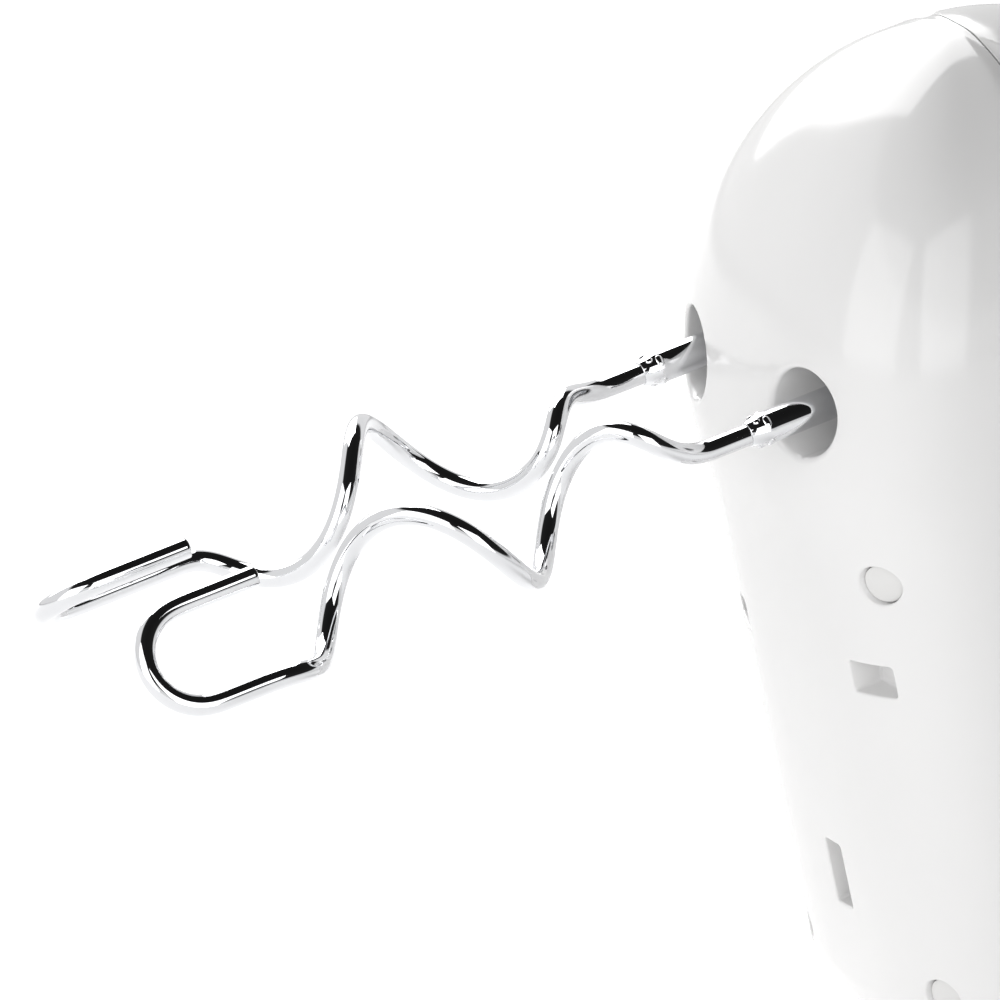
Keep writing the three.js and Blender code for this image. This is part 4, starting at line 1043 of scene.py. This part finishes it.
# ------------------------------------------------------------------ carried-over CAD nodes
LOOKS = {
    "ejector_plate": NYLON, "ejector_spring": STEEL, "stator_core": LAMINATION,
    "field_coil": COIL_WIRE, "armature_core": LAMINATION, "armature_winding": ARMATURE_WIRE,
    "commutator": COPPER_BAR, "motor_shaft": SHAFT_STEEL, "worm_wheel": NYLON, "worm": SHAFT_STEEL,
    "cooling_fan": NYLON, "bearing": BRONZE, "rear_bracket": DARK, "gearbox_frame": NYLON,
    "gearbox_cover": NYLON, "speed_switch": DARK, "circuit_board": BOARD,
    "suppression_capacitor": LEAD, "terminal_block": NYLON, "brush_holder": DARK,
    "carbon_brush": CARBON, "brush_spring": STEEL, "spindle": STEEL, "motor_lead": LEAD,
    "housing_screw": STEEL,
}
for node_name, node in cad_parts.items():
    if node.hide_render:
        continue
    key = max((k for k in LOOKS if node_name.startswith(k)), key=len)
    node.data.materials.clear()
    node.data.materials.append(LOOKS[key])

# ------------------------------------------------------------------ floor, lights, camera
def plain(name, color, roughness):
    """Plain studio surface with hardly any variation."""
    surface_material, tree, shader, place = tree_of(name)
    tone = ramp(tree, noise(tree, place, 3, 2), [(0.3, tuple(c * 0.995 for c in color)), (0.7, color)])
    tree.links.new(tone, shader.inputs["Base Color"])
    shader.inputs["Roughness"].default_value = roughness
    return surface_material


floor_mesh = bpy.data.meshes.new("studio_floor")
reach = 14.0
floor_mesh.from_pydata(
    [(-reach, -reach, 0), (reach, -reach, 0), (reach, reach, 0), (-reach, reach, 0)], [], [(0, 1, 2, 3)]
)
paper = plain("floor_paper", (0.76, 0.76, 0.76), 0.9)
paper_shader = paper.node_tree.nodes["Principled BSDF"]
paper_shader.inputs["Emission Color"].default_value = (1, 1, 1, 1)
paper_shader.inputs["Emission Strength"].default_value = 0.4
floor_mesh.materials.append(paper)
studio_floor = bpy.data.objects.new("studio_floor", floor_mesh)
bpy.context.scene.collection.objects.link(studio_floor)
studio_floor.location.z = -0.0002

world = bpy.data.worlds.new("studio")
bpy.context.scene.world = world
world.use_nodes = True
tree = world.node_tree
background = tree.nodes["Background"]
direction = tree.nodes.new("ShaderNodeTexCoord")
tilt = tree.nodes.new("ShaderNodeVectorMath")
tilt.operation = "DOT_PRODUCT"
tree.links.new(direction.outputs["Generated"], tilt.inputs[0])
# the bright horizon reaches higher on one side of the studio than on the other
lean_out, lean_azimuth = math.radians(20), math.radians(116)
tilt.inputs[1].default_value = (
    math.sin(lean_azimuth) * math.sin(lean_out),
    -math.cos(lean_azimuth) * math.sin(lean_out),
    math.cos(lean_out),
)
sky = ramp(tree, tilt.outputs["Value"], [
    (0.0, (1.0, 1.0, 1.0)), (0.4, (1.0, 1.0, 1.0)),
    (0.5, (0.02, 0.02, 0.02)), (1.0, (0.012, 0.012, 0.012)),
])
tree.links.new(sky, background.inputs["Color"])
background.inputs["Strength"].default_value = 0.9


def softbox(name, azimuth, elevation, distance, width, height, power, aim=(0, -0.05, 0.1)):
    """Area light facing the aim point, from an azimuth measured like the camera's."""
    lamp = bpy.data.lights.new(name, "AREA")
    lamp.shape = "RECTANGLE"
    lamp.size, lamp.size_y = width, height
    lamp.energy = power
    lamp.color = (1.0, 1.0, 1.0)
    holder = bpy.data.objects.new(name, lamp)
    a, e = math.radians(azimuth), math.radians(elevation)
    back = Vector((math.sin(a) * math.cos(e), -math.cos(a) * math.cos(e), math.sin(e)))
    holder.location = Vector(aim) + back * distance
    holder.rotation_mode = "QUATERNION"
    holder.rotation_quaternion = (-back).to_track_quat("-Z", "Y")
    bpy.context.scene.collection.objects.link(holder)


softbox("key_softbox", -93, 38, 1.8, 1.35, 1.7, 31)
softbox("front_softbox", 20, 20, 1.7, 1.5, 1.4, 12)
softbox("side_softbox", 84, 18, 1.8, 1.2, 1.5, 12)

# Camera: round to the right of the hooks, a little above, with a long lens. It aims left of the
# collars and below them, so they lie to the right of the picture's middle and above it.
AZIMUTH, ELEVATION, DISTANCE = math.radians(62.45), math.radians(17.67), 5.139
right = Vector((math.cos(AZIMUTH), math.sin(AZIMUTH), 0))
back = Vector((
    math.sin(AZIMUTH) * math.cos(ELEVATION), -math.cos(AZIMUTH) * math.cos(ELEVATION), math.sin(ELEVATION)
))
up = back.cross(right)
collars = TO_FRAME @ Vector((0, 0, 0))
aim = collars - right * 0.038406 - up * 0.018653
lens = bpy.data.cameras.new("camera")
lens.sensor_width = 36
lens.lens = lens.sensor_width * 28.007
lens.clip_start, lens.clip_end = 0.1, 60
camera = bpy.data.objects.new("camera", lens)
facing = Matrix((right, up, back)).transposed().to_4x4()
camera.matrix_world = Matrix.Translation(aim + back * DISTANCE) @ facing
bpy.context.scene.collection.objects.link(camera)
bpy.context.scene.camera = camera

bpy.context.scene.view_settings.view_transform = "Standard"
